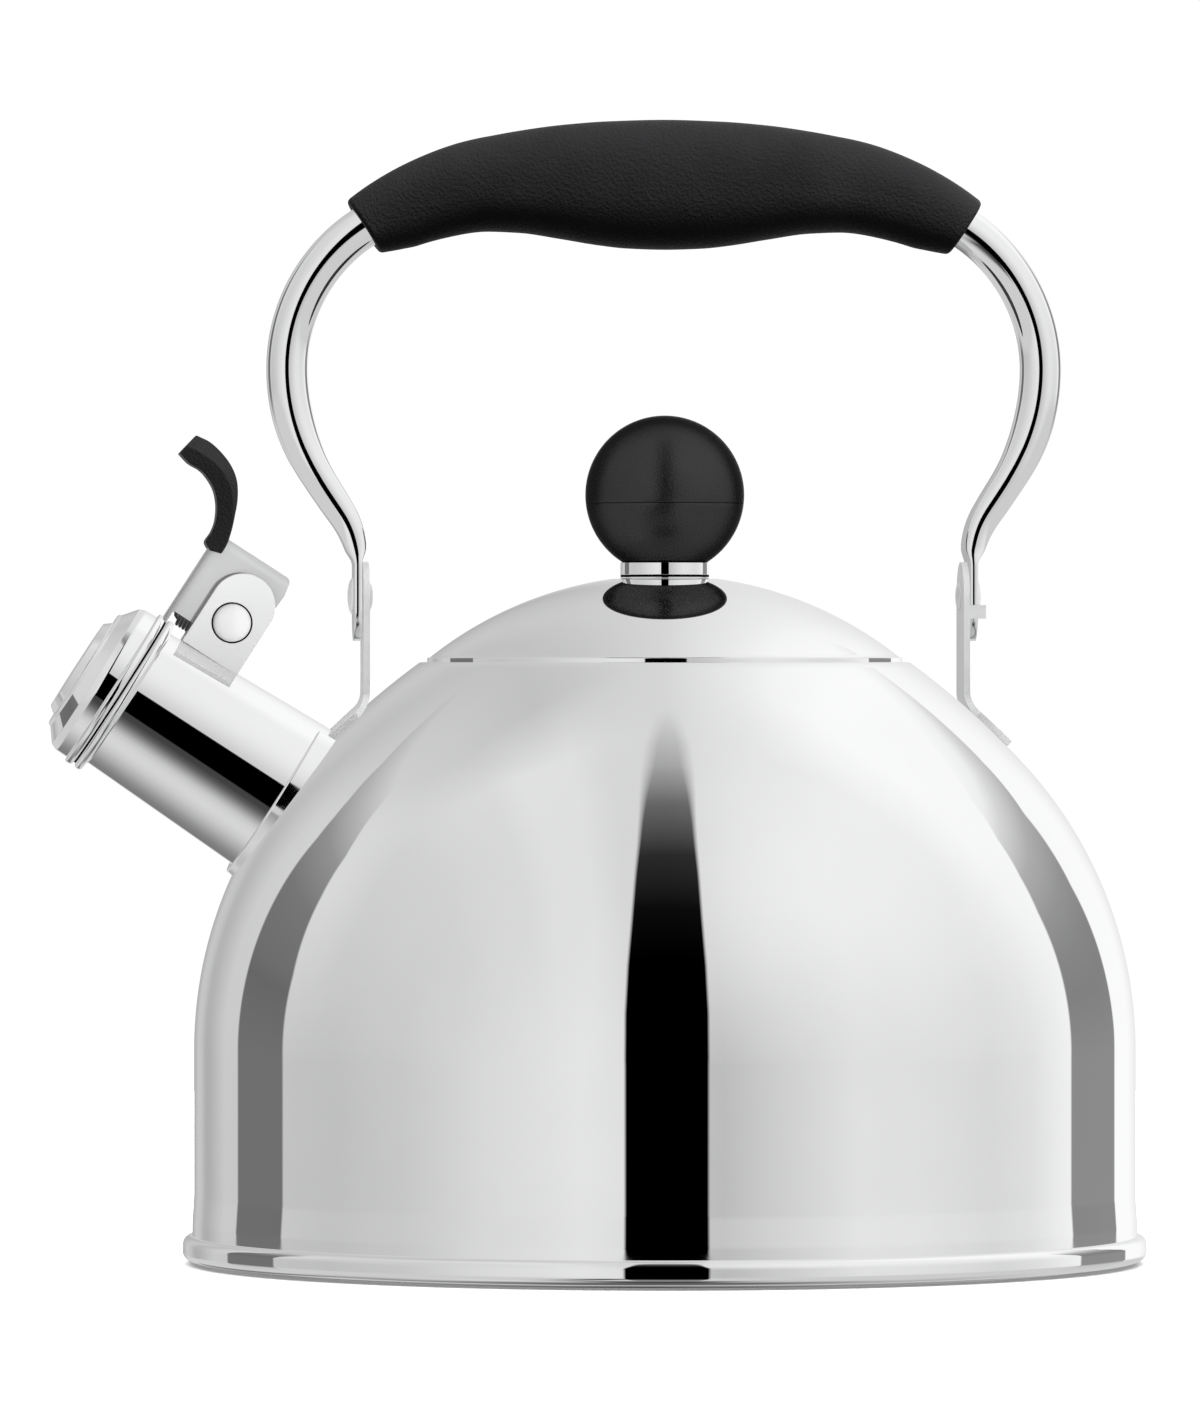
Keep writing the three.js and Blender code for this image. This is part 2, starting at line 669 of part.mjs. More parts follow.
function knobBase() {
  const bottom = knobAngle(KNOB_BOTTOM, KNOB_R);
  const parting = knobAngle(KNOB_PARTING - 0.15, KNOB_R);
  return turned([
    [3.3, KNOB_BOTTOM],
    ...arc(0, KNOB_Z, KNOB_R, bottom, parting, 5),
    [13.6, KNOB_PARTING - 0.15],
    [13.6, KNOB_PARTING + 2.2],
    [12, KNOB_PARTING + 2.2],
    [10.5, KNOB_BOTTOM + 9],
    [3.3, KNOB_BOTTOM + 9],
  ], ROUND_SPOUT);
}

function knobCap() {
  const inside = KNOB_R - 2.6;
  const parting = knobAngle(KNOB_PARTING + 0.15, KNOB_R);
  return turned([
    [0, KNOB_Z + KNOB_R],
    ...arc(0, KNOB_Z, KNOB_R, 78, parting, 7),
    [14, KNOB_PARTING + 0.15],
    ...arc(0, KNOB_Z, inside, knobAngle(KNOB_PARTING + 2.9, inside), 75, 5),
    [0, KNOB_Z + inside],
  ], ROUND_SPOUT);
}

function knobInsert() {
  const bottom = KNOB_BOTTOM + 0.5;
  const top = KNOB_BOTTOM + 8.7;
  return turned([[1.9, bottom], [3, bottom], [3, top], [1.9, top]], ROUND_SMALL - 4);
}

function knobScrew() {
  return turned([
    [0, 141.2],
    [2.6, 141.4],
    [3.5, 142.2],
    [3.6, 143.3],
    [1.6, 143.3],
    [1.6, KNOB_BOTTOM + 7],
    [1.1, KNOB_BOTTOM + 7.6],
    [0, KNOB_BOTTOM + 7.6],
  ], ROUND_SMALL - 4);
}

function knobWasher() {
  return turned([[2.1, 143.6], [5.4, 143.6], [5.4, 144.3], [2.1, 144.3]], ROUND_SMALL - 4);
}

// ---- assembly ----
function piece(name, geometry, material) {
  const mesh = new THREE.Mesh(welded(geometry), material);
  mesh.name = name;
  mesh.geometry.computeVertexNormals();
  return mesh;
}

const spoutGroup = new THREE.Group();
spoutGroup.position.copy(SPOUT_ROOT);
spoutGroup.rotation.y = radians(SPOUT_RISE - 90);
spoutGroup.add(
  piece('spout_tube', spoutTube(), STEEL),
  piece('spout_flange', spoutFlange(), STEEL),
  piece('spout_bracket', spoutBracket(), STEEL),
  piece('lever_pin', leverPin(), STEEL),
  piece('lever_spring', leverSpring(), SATIN_STEEL),
  piece('whistle_cap', whistleCap(), STEEL),
  piece('whistle_front_plate', whistleFrontPlate(), STEEL),
  piece('whistle_back_plate', whistleBackPlate(), SATIN_STEEL),
  piece('lever_arm', leverArm(), STEEL),
);

const body = new THREE.Group();
body.add(
  piece('body_shell', bodyShell(), STEEL),
  piece('base_pan', basePan(), STEEL),
  piece('heat_disc', heatDisc(), ALUMINIUM),
  piece('base_cover', baseCover(), SATIN_STEEL),
  piece('left_handle_bracket', handleBracket(-1), STEEL),
  piece('right_handle_bracket', handleBracket(1), STEEL),
  piece('left_handle_rivet', handleRivet(-1), STEEL),
  piece('right_handle_rivet', handleRivet(1), STEEL),
);

const handle = new THREE.Group();
handle.add(
  piece('handle_tube', handleTube(), STEEL),
  piece('grip_front', gripHalf(-1), BLACK),
  piece('grip_back', gripHalf(1), BLACK),
  piece('grip_screw_left', gripScrew(-1), SATIN_STEEL),
  piece('grip_screw_right', gripScrew(1), SATIN_STEEL),
);

const lid = new THREE.Group();
lid.add(
  piece('lid_shell', lidShell(), STEEL),
  piece('lid_skirt', lidSkirt(), SATIN_STEEL),
  piece('lid_boss', collarRing(LID_SEAT_Z + GAP, BOSS_TOP, 0.5), STEEL),
  piece('knob_ferrule', collarRing(BOSS_TOP + GAP, KNOB_BOTTOM - GAP, 0.1), STEEL),
  piece('knob_base', knobBase(), BLACK),
  piece('knob_cap', knobCap(), BLACK),
  piece('knob_insert', knobInsert(), BRASS),
  piece('knob_screw', knobScrew(), SATIN_STEEL),
  piece('knob_washer', knobWasher(), SATIN_STEEL),
);

const kettle = new THREE.Group();
kettle.add(body, spoutGroup, piece('thumb_tip', thumbTip(), BLACK), handle, lid);

export default kettle;
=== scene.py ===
import json
from math import acos, asin, atan2, ceil, copysign, cos, degrees, hypot, pi, radians, sin, sqrt, tan

import bmesh
import bpy
import numpy as np
from mathutils import Matrix, Vector


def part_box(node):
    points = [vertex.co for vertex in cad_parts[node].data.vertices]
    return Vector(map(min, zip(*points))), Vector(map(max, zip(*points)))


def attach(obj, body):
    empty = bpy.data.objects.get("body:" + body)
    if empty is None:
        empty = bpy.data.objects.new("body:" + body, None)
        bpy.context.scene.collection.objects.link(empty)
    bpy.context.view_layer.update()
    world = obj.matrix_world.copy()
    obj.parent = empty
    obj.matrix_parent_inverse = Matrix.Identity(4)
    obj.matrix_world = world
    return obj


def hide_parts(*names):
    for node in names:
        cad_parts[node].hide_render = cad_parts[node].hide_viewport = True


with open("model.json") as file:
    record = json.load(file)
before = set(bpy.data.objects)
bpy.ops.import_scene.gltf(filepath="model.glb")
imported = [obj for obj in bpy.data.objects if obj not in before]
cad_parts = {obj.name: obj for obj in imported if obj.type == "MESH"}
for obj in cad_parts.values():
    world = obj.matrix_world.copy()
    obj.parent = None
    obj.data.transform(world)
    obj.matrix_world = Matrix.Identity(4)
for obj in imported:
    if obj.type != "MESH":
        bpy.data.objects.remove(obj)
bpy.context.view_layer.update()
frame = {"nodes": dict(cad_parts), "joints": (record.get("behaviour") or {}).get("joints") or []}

MM = 0.001
JOINTS = {joint["name"]: joint for joint in frame["joints"]}


def top(node):
    """Highest z of a CAD node, in millimetres."""
    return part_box(node)[1].z / MM


def bottom(node):
    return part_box(node)[0].z / MM


# ---- sizes shared by several pieces, in millimetres ----
SHEET = 0.8
BODY_R = 100.0
FLARE = 0.4
BEAD_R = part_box("base_pan")[1].x / MM
WALL_TOP = 45.5
SHOULDER_R = 89.3
CROWN_R = 171.3
SHOULDER_END = 43.0
CROWN_END = 53.7
LID_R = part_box("lid_shell")[1].x / MM
LID_SPHERE_R = 80.0
LID_SPHERE_Z = 66.2
SEAT_Z = top("lid_shell")
LEDGE_Z = bottom("lid_shell") - 0.3
SPOUT_RISE = 32.9
SPOUT_ROOT = Vector((-81.9, 0.0, 99.4))
SPOUT_LENGTH = 38.4
SPOUT_ROOT_R = 17.6
SPOUT_MOUTH_R = 16.2
LIP_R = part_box("whistle_cap")[1].y / MM
CAP_S = SPOUT_LENGTH + 2.5
PIN = Vector(JOINTS["spout_lever"]["pos_m"]) / MM
PIVOT_Z = JOINTS["handle_fold"]["pos_m"][2] / MM
KNOB_R = 16.9
KNOB_Z = top("knob_cap") - KNOB_R
KNOB_BOTTOM = bottom("knob_base")
KNOB_PARTING = bottom("knob_cap") - 0.15


NEARLY_STRAIGHT = radians(178)
SHARP_EDGE = radians(38)


# ---- geometry helpers ----
def arc(centre_x, centre_z, radius, start, end, steps):
    """Points on an arc, angles in degrees."""
    angles = np.radians(np.linspace(start, end, steps + 1))
    return [(centre_x + radius * cos(a), centre_z + radius * sin(a)) for a in angles]


def rounded(corners, closed=True, step=10.0, rise=0.0):
    """A polyline through (x, z, fillet radius) corners, lifted by rise, each corner rounded."""
    corners = [(x, z + rise, radius) for x, z, radius in corners]
    points = []
    count = len(corners)
    for i, (x, z, radius) in enumerate(corners):
        here = Vector((x, z))
        if radius <= 0 or (not closed and i in (0, count - 1)):
            points.append((x, z))
            continue
        before = Vector(corners[i - 1][:2]) - here
        after = Vector(corners[(i + 1) % count][:2]) - here
        angle = before.angle(after)
        if angle > NEARLY_STRAIGHT:
            points.append((x, z))
            continue
        reach = min(radius / tan(angle / 2), 0.49 * before.length, 0.49 * after.length)
        fitted = reach * tan(angle / 2)
        middle = (before.normalized() + after.normalized()).normalized()
        centre = here + middle * (fitted / sin(angle / 2))
        start = here + before.normalized() * reach - centre
        end = here + after.normalized() * reach - centre
        turn = pi - angle
        if start.x * end.y < start.y * end.x:
            turn = -turn
        steps = max(1, ceil(abs(degrees(turn)) / step))
        for k in range(steps + 1):
            a = turn * k / steps
            points.append((
                centre.x + start.x * cos(a) - start.y * sin(a),
                centre.y + start.x * sin(a) + start.y * cos(a)))
    return points


def smooth_between(pairs, x):
    """Value at x in (x, value) pairs, on a smooth curve that never overshoots."""
    xs, vs = zip(*pairs)
    if x <= xs[0]:
        return vs[0]
    if x >= xs[-1]:
        return vs[-1]
    slopes = [(vs[i + 1] - vs[i]) / (xs[i + 1] - xs[i]) for i in range(len(xs) - 1)]
    ends = [0.0] + [2 * a * b / (a + b) if a * b > 0 else 0.0 for a, b in zip(slopes, slopes[1:])]
    ends.append(slopes[-1])
    i = max(k for k in range(len(xs) - 1) if xs[k] <= x)
    h = xs[i + 1] - xs[i]
    u = (x - xs[i]) / h
    return ((2 * u ** 3 - 3 * u ** 2 + 1) * vs[i] + (u ** 3 - 2 * u ** 2 + u) * h * ends[i]
            + (-2 * u ** 3 + 3 * u ** 2) * vs[i + 1] + (u ** 3 - u ** 2) * h * ends[i + 1])


def tidy_mesh(mesh):
    mesh.shade_smooth()
    mesh.set_sharp_from_angle(angle=SHARP_EDGE)


def place(name, data):
    piece = bpy.data.objects.new(name, data)
    bpy.context.scene.collection.objects.link(piece)
    return piece


def make(name, points, faces, matrix=None):
    """A mesh object from points in millimetres, doubles merged and faces turned outwards."""
    mesh = bpy.data.meshes.new(name)
    mesh.from_pydata([Vector(p) * MM for p in points], [], faces)
    work = bmesh.new()
    work.from_mesh(mesh)
    bmesh.ops.remove_doubles(work, verts=work.verts, dist=1e-7)
    bmesh.ops.dissolve_degenerate(work, edges=work.edges, dist=1e-8)
    bmesh.ops.recalc_face_normals(work, faces=work.faces)
    work.to_mesh(mesh)
    work.free()
    if matrix is not None:
        mesh.transform(matrix)
    tidy_mesh(mesh)
    return place(name, mesh)


def revolve(name, profile, segments, matrix=None, closed=True, warp=None, span=(0.0, 360.0)):
    """A body of revolution about Z. warp(angle, r, z) may move a point along the axis."""
    whole = span[1] - span[0] > 359.9
    columns = segments if whole else segments + 1
    size = len(profile)
    points = []
    for j in range(columns):
        angle = radians(span[0] + (span[1] - span[0]) * j / segments)
        for r, z in profile:
            height = warp(angle, r, z) if warp else z
            points.append((r * cos(angle), r * sin(angle), height))
    faces = []
    steps = size if closed else size - 1
    for j in range(segments):
        a = j * size
        b = ((j + 1) % columns) * size
        for i in range(steps):
            k = (i + 1) % size
            faces.append((a + i, b + i, b + k, a + k))
    if not whole and closed:
        faces.append(tuple(range(size)))
        faces.append(tuple((columns - 1) * size + i for i in reversed(range(size))))
    return make(name, points, faces, matrix)


def loft(name, rings, matrix=None):
    """A closed body through rings of points."""
    size = len(rings[0])
    points = [p for ring in rings for p in ring]
    faces = []
    for r in range(len(rings) - 1):
        for i in range(size):
            k = (i + 1) % size
            faces.append((r * size + i, r * size + k, (r + 1) * size + k, (r + 1) * size + i))
    faces.append(tuple(reversed(range(size))))
    faces.append(tuple((len(rings) - 1) * size + i for i in range(size)))
    return make(name, points, faces, matrix)


def turned(name, corners, segments, matrix=None, closed=True, step=10.0, rise=0.0, **more):
    """A body of revolution from (r, z, fillet radius) corners."""
    return revolve(name, rounded(corners, closed, step, rise), segments, matrix, closed, **more)


def cylinder(name, radius, low, high, segments, matrix=None):
    section = [(0, low), (radius, low), (radius, high), (0, high)]
    return revolve(name, section, segments, matrix, closed=False)


def ring(name, inner, outer, low, high):
    return revolve(name, [(inner, low), (outer, low), (outer, high), (inner, high)], 128)


def slab(name, outline, y0, y1, bevel=0.0, segments=3):
    """A flat plate from an outline of (x, z) points, between two y faces, its rim edges rounded."""
    size = len(outline)
    points = [(x, y0, z) for x, z in outline] + [(x, y1, z) for x, z in outline]
    faces = [tuple(range(size)), tuple(size + i for i in reversed(range(size)))]
    faces += [(i, (i + 1) % size, size + (i + 1) % size, size + i) for i in range(size)]
    piece = make(name, points, faces)
    if bevel:
        work = bmesh.new()
        work.from_mesh(piece.data)
        rims = [e for e in work.edges if abs(e.verts[0].co.y - e.verts[1].co.y) < 1e-7]
        bmesh.ops.bevel(work, geom=rims, offset=bevel * MM, segments=segments, profile=0.5,
                        affect="EDGES", clamp_overlap=True)
        work.to_mesh(piece.data)
        work.free()
    tidy_mesh(piece.data)
    return piece


def sheet_of(name, rows, thickness):
    """A sheet through a grid of points, thickened away from its face, with softened edges."""
    size = len(rows[0])
    points = [p for row in rows for p in row]
    faces = [(r * size + i, r * size + i + 1, (r + 1) * size + i + 1, (r + 1) * size + i)
             for r in range(len(rows) - 1) for i in range(size - 1)]
    piece = make(name, points, faces)
    thicken(piece, thickness)
    return piece


def apply_modifiers(piece):
    bpy.context.view_layer.update()
    graph = bpy.context.evaluated_depsgraph_get()
    mesh = bpy.data.meshes.new_from_object(piece.evaluated_get(graph))
    piece.modifiers.clear()
    old = piece.data
    piece.data = mesh
    bpy.data.meshes.remove(old)
    tidy_mesh(mesh)


def thicken(piece, thickness, offset=1.0):
    solidify = piece.modifiers.new("thickness", "SOLIDIFY")
    solidify.thickness = thickness * MM
    solidify.offset = offset
    solidify.use_even_offset = True
    apply_modifiers(piece)


def soften(piece, width, angle, segments=3):
    bevel = piece.modifiers.new("softened edges", "BEVEL")
    bevel.width = width * MM
    bevel.segments = segments
    bevel.limit_method = "ANGLE"
    bevel.angle_limit = radians(angle)
    bevel.harden_normals = False
    apply_modifiers(piece)


def combine(piece, tool, operation):
    """Cuts or joins piece with tool, and removes the tool."""
    boolean = piece.modifiers.new(operation, "BOOLEAN")
    boolean.operation = operation
    boolean.solver = "EXACT"
    boolean.object = tool
    apply_modifiers(piece)
    bpy.data.objects.remove(tool)


def wire(name, path, radius, sides, matrix):
    """A round wire along a list of points."""
    points = [Vector(p) for p in path]
    rings = []
    normal = None
    for i, p in enumerate(points):
        tangent = (points[min(i + 1, len(points) - 1)] - points[max(i - 1, 0)]).normalized()
        if normal is None:
            normal = tangent.orthogonal().normalized()
        normal = (normal - tangent * normal.dot(tangent)).normalized()
        other = tangent.cross(normal)
        rings.append([p + (normal * cos(a) + other * sin(a)) * radius
                      for a in (2 * pi * k / sides for k in range(sides))])
    return loft(name, rings, matrix)


def spline(points, steps):
    """A smooth curve through points (Catmull-Rom)."""
    pts = [Vector(p) for p in points]
    pts = [2 * pts[0] - pts[1]] + pts + [2 * pts[-1] - pts[-2]]
    path = []
    for i in range(1, len(pts) - 2):
        a, b, c, d = pts[i - 1:i + 3]
        for k in range(steps):
            u = k / steps
            path.append(0.5 * (2 * b + (c - a) * u + (2 * a - 5 * b + 4 * c - d) * u ** 2
                               + (3 * b - a - 3 * c + d) * u ** 3))
    path.append(pts[-2])
    return path


# ---- the dome and the spout's frame ----
SHOULDER_CENTRE = (BODY_R - SHOULDER_R, WALL_TOP)
CROWN_CENTRE = (
    SHOULDER_CENTRE[0] + (SHOULDER_R - CROWN_R) * cos(radians(SHOULDER_END)),
    SHOULDER_CENTRE[1] + (SHOULDER_R - CROWN_R) * sin(radians(SHOULDER_END)))


def dome_z(radius, offset=0.0):
    """Height of the dome's surface at a distance from the kettle's axis."""
    seam = SHOULDER_CENTRE[0] + (SHOULDER_R + offset) * cos(radians(SHOULDER_END))
    centre, size = (CROWN_CENTRE, CROWN_R) if radius < seam else (SHOULDER_CENTRE, SHOULDER_R)
    return centre[1] + sqrt(max((size + offset) ** 2 - (radius - centre[0]) ** 2, 0.0))


RISE = radians(SPOUT_RISE)
SPOUT = Matrix.Translation(SPOUT_ROOT * MM) @ Matrix.Rotation(RISE - pi / 2, 4, "Y")
PIN_LOCAL = (SPOUT.inverted() @ (PIN * MM)) / MM
PIN_T, PIN_S = PIN_LOCAL.x, PIN_LOCAL.z


def along_y(x, z):
    """Frame of a piece turned about an axis along Y."""
    return Matrix.Translation(Vector((x, 0, z)) * MM) @ Matrix.Rotation(-pi / 2, 4, "X")


ACROSS_PIN = along_y(PIN_T, PIN_S)


def spout_to_dome(angle, radius, lift=0.0):
    """Distance along the spout axis at which a line beside it meets the dome."""
    out = Vector((-cos(RISE), 0.0, sin(RISE)))
    up = Vector((sin(RISE), 0.0, cos(RISE)))
    start = SPOUT_ROOT + up * radius * cos(angle) + Vector((0, radius * sin(angle), 0))
    low, high = -14.0, 10.0
    for _ in range(40):
        middle = (low + high) / 2
        p = start + out * middle
        if p.z > dome_z(hypot(p.x, p.y)):
            high = middle
        else:
            low = middle
    return high + lift


# ---- materials ----
def new_material(name):
    material = bpy.data.materials.new(name)
    material.use_nodes = True
    tree = material.node_tree
    shader = tree.nodes["Principled BSDF"]
    return material, tree, shader


def connect(socket, value):
    """Links an input to another node's output, or sets it to a plain value."""
    if isinstance(value, bpy.types.NodeSocket):
        socket.id_data.links.new(value, socket)
    else:
        socket.default_value = value


def feed(made, **values):
    """Connects a node's inputs, with _ for each space in their names."""
    for key, value in values.items():
        connect(made.inputs[key.replace("_", " ")], value)
    return made


def node(tree, kind, **values):
    """A new node. Names in lower case set its properties, the others its inputs."""
    made = tree.nodes.new(kind)
    for key in [key for key in values if key.islower()]:
        setattr(made, key, values.pop(key))
    return feed(made, **values)


def ramp(tree, source, stops):
    """Greys or colours between (position, value) stops."""
    made = node(tree, "ShaderNodeValToRGB", Fac=source)
    elements = made.color_ramp.elements
    while len(elements) < len(stops):
        elements.new(0.5)
    for element, (at, value) in zip(elements, stops):
        element.position = at
        element.color = (value, value, value, 1) if isinstance(value, float) else (*value, 1)
    return made.outputs["Color"]


def math_node(tree, operation, a, b=0.0):
    """A math node over two outputs or numbers."""
    made = node(tree, "ShaderNodeMath", operation=operation)
    connect(made.inputs[0], a)
    connect(made.inputs[1], b)
    return made.outputs[0]


def map_range(tree, source, low, high, to_low, to_high):
    return node(tree, "ShaderNodeMapRange", Value=source, From_Min=low, From_Max=high,
                To_Min=to_low, To_Max=to_high).outputs["Result"]


def noise(tree, vector, scale, detail=2.0, rough=0.5):
    return node(tree, "ShaderNodeTexNoise", Vector=vector, Scale=scale, Detail=detail,
                Roughness=rough).outputs["Fac"]


def bump(tree, height, strength, distance):
    return node(tree, "ShaderNodeBump", Height=height, Strength=strength,
                Distance=distance).outputs["Normal"]


def object_coordinates(tree):
    return node(tree, "ShaderNodeTexCoord").outputs["Object"]


def axes_of(tree, vector):
    """The three parts of a vector."""
    return node(tree, "ShaderNodeSeparateXYZ", Vector=vector).outputs


def worn_edges(tree, low, high, most):
    """0 on flat faces, rising to most on sharp outer edges."""
    return map_range(tree, node(tree, "ShaderNodeNewGeometry").outputs["Pointiness"], low, high, 0.0, most)


def ring_coordinates(tree, where, origin, tilt):
    """Coordinates (distance from the axis, turn, height) for marks that run round a turned piece."""
    turned = node(tree, "ShaderNodeMapping", vector_type="TEXTURE", Vector=where, Location=origin,
                  Rotation=(0, tilt, 0))
    x, y, z = axes_of(tree, turned.outputs["Vector"])
    squares = math_node(tree, "ADD", math_node(tree, "MULTIPLY", x, x), math_node(tree, "MULTIPLY", y, y))
    turn = math_node(tree, "MULTIPLY", math_node(tree, "ARCTAN2", y, x), MARK_STRETCH)
    return node(tree, "ShaderNodeCombineXYZ", X=math_node(tree, "SQRT", squares), Y=turn, Z=z).outputs[0]


def steel(name, colour, rough_low, rough_high, marks, origin=(0, 0, 0), tilt=0.0, edge=0.06, metal=1.0):
    """Stainless steel: faint marks round the axis, clouded polish and slightly worn edges."""
    material, tree, shader = new_material(name)
    where = object_coordinates(tree)
    lines = noise(tree, ring_coordinates(tree, where, origin, tilt), MARK_SCALE, 3.0, 0.6)
    cloud = noise(tree, where, CLOUD_SCALE, 3.0, 0.55)
    smudge = noise(tree, where, SMUDGE_SCALE, 4.0, 0.6)
    base = map_range(tree, math_node(tree, "MULTIPLY", cloud, smudge), 0.12, 0.42, rough_low, rough_high)
    dull = tuple(c * DULL_SHARE for c in colour)
    feed(shader, Metallic=metal,
         Roughness=math_node(tree, "ADD", base, worn_edges(tree, 0.52, 0.6, edge)),
         Base_Color=ramp(tree, cloud, [(0.3, dull), (0.7, colour)]),
         Normal=bump(tree, lines, marks, MARK_DEPTH))
    return material


def plastic(name, colour, light, grain_scale, grain_depth, rough, specular, gloss=0.0):
    """Black moulded plastic with a fine grained skin, rubbed a little lighter on its edges."""
    material, tree, shader = new_material(name)
    where = object_coordinates(tree)
    cells = node(tree, "ShaderNodeTexVoronoi", feature="SMOOTH_F1", Vector=where, Scale=grain_scale)
    fine = noise(tree, where, grain_scale * FINE_GRAIN, 3.0, 0.6)
    height = math_node(tree, "ADD", cells.outputs["Distance"], fine)
    soft = map_range(tree, noise(tree, where, RUB_SCALE, 3.0, 0.55), 0.3, 0.75, 0.0, 0.4)
    rubbed = math_node(tree, "ADD", soft, worn_edges(tree, 0.5, 0.62, 1.0))
    rubbed.node.use_clamp = True
    feed(shader, Metallic=gloss, Specular_IOR_Level=specular,
         Specular_Tint=(EDGE_GLOSS, EDGE_GLOSS, EDGE_GLOSS, 1),
         Base_Color=ramp(tree, rubbed, [(0.0, colour), (1.0, light)]),
         Roughness=map_range(tree, fine, 0.3, 0.7, rough - 0.06, rough + 0.08),
         Normal=bump(tree, height, grain_depth, GRAIN_DEPTH))
    return material


# Texture scales are per metre, depths in metres.
MARK_SCALE = 5200.0
MARK_STRETCH = 0.004
MARK_DEPTH = 0.00002
CLOUD_SCALE = 26.0
SMUDGE_SCALE = 240.0
DULL_SHARE = 0.965
FINE_GRAIN = 1.7
RUB_SCALE = 45.0
GRAIN_DEPTH = 0.00018
EDGE_GLOSS = 0.15
STEEL_COLOUR = (0.93, 0.932, 0.935)
ON_SPOUT = {"origin": tuple(SPOUT_ROOT * MM), "tilt": RISE - pi / 2}
MIRROR = steel("mirror polished steel", STEEL_COLOUR, 0.004, 0.02, 0.006)
MIRROR_SPOUT = steel("mirror polished steel, turned on the spout", STEEL_COLOUR, 0.01, 0.035, 0.008,
                     **ON_SPOUT)
MIRROR_TUBE = steel("polished tube", STEEL_COLOUR, 0.02, 0.06, 0.012, edge=0.1)
BRIGHT = steel("bright brushed sheet", (0.9, 0.902, 0.905), 0.34, 0.46, 0.004, edge=0.1, metal=0.6)
BRIGHT_EAR = steel("bright satin sheet on the spout", (0.38, 0.381, 0.382), 0.36, 0.48, 0.05,
                   edge=0.1, metal=0.25, **ON_SPOUT)
BRIGHT_LEVER = steel("brushed sheet of the lever", (0.29, 0.291, 0.292), 0.3, 0.42, 0.06,
                     edge=0.1, metal=0.3, **ON_SPOUT)
BRIGHT_PIN = steel("tumbled pin", (0.4, 0.4, 0.4), 0.3, 0.4, 0.02, metal=0.2)
SATIN = steel("satin steel", (0.62, 0.622, 0.63), 0.24, 0.36, 0.35, edge=0.1)
SPRING = steel("drawn spring wire", (0.07, 0.07, 0.073), 0.2, 0.34, 0.1)
ALUMINIUM = steel("rolled aluminium", (0.74, 0.745, 0.75), 0.34, 0.5, 0.5)
BRASS = steel("turned brass", (0.78, 0.57, 0.26), 0.2, 0.34, 0.4)
KNOB_BLACK = plastic("black knob plastic", (0.05, 0.05, 0.051), (0.06, 0.06, 0.061),
                     1900.0, 0.16, 0.25, 0.12, gloss=0.9)
TIP_BLACK = plastic("black plastic of the thumb tip", (0.003, 0.003, 0.0031), (0.0065, 0.0065, 0.0067),
                    1900.0, 1.0, 0.4, 0.12)
# Painted shade: near-black matt for thin rings set into gaps and grooves, standing in for the shade between
# parts.
PAINTED_SHADE_BLACK = plastic("matt black painted shade in the joints", (0.001, 0.001, 0.001), (0.002, 0.002, 0.002),
                     1500.0, 0.3, 0.7, 0.02)
GRIP_BLACK = plastic("soft grained grip", (0.002, 0.002, 0.0021), (0.0045, 0.0045, 0.0047),
                     1500.0, 1.0, 0.46, 0.03)


def dress(piece, material, body, slot, *nodes, mirrored=False):
    """Finishes a piece that rides a body. Only mirrored pieces show in the polished steel around them."""
    piece.visible_glossy = mirrored
    piece.data.materials.clear()
    piece.data.materials.append(material)
    weighted = piece.modifiers.new("weighted normals", "WEIGHTED_NORMAL")
    weighted.keep_sharp = True
    weighted.weight = 80
    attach(piece, body)
    if nodes:
        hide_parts(*nodes)


# ---- body and base ----
def open_spout_hole(mesh, hole):
    """Cuts the pouring hole, its edge moved onto a circle about the spout's axis."""
    inward = SPOUT.inverted()
    reach = 0.014
    widest = 0.02
    work = bmesh.new()
    work.from_mesh(mesh)
    near = {v: inward @ v.co for v in work.verts}
    inside = {v for v, p in near.items() if hypot(p.x, p.y) < hole and abs(p.z) < reach}
    gone = [f for f in work.faces if sum(v in inside for v in f.verts) >= 2]
    bmesh.ops.delete(work, geom=gone, context="FACES")
    for edge in [e for e in work.edges if e.is_boundary]:
        for v in edge.verts:
            p = near.get(v) or inward @ v.co
            if abs(p.z) < reach and 0 < hypot(p.x, p.y) < widest:
                turn = atan2(p.y, p.x)
                along = spout_to_dome(turn, hole / MM) * MM
                v.co = SPOUT @ Vector((hole * cos(turn), hole * sin(turn), along))
    work.to_mesh(mesh)
    work.free()


def build_body_shell():
    profile = rounded([
        (BODY_R + FLARE, 6.1, 0),
        (BODY_R + FLARE, 8.6, 12),
        (BODY_R, 14.6, 14),
        (BODY_R, 30.0, 0),
    ], closed=False, step=1.0)
    profile += arc(*SHOULDER_CENTRE, SHOULDER_R, 0, SHOULDER_END, 52)
    profile += arc(*CROWN_CENTRE, CROWN_R, SHOULDER_END, CROWN_END, 16)[1:]
    profile += rounded([
        (51.4, LEDGE_Z + 1.0, 0.8),
        (50.95, LEDGE_Z, 0.15),
        (46.7, LEDGE_Z, 1.1),
        (46.7, 116.5, 0),
    ], closed=False)
    piece = revolve("domed_shell", profile, 256, closed=False)
    open_spout_hole(piece.data, 15.2 * MM)
    thicken(piece, SHEET, offset=-1.0)
    dress(piece, MIRROR, "kettle", "polished_steel", "body_shell")


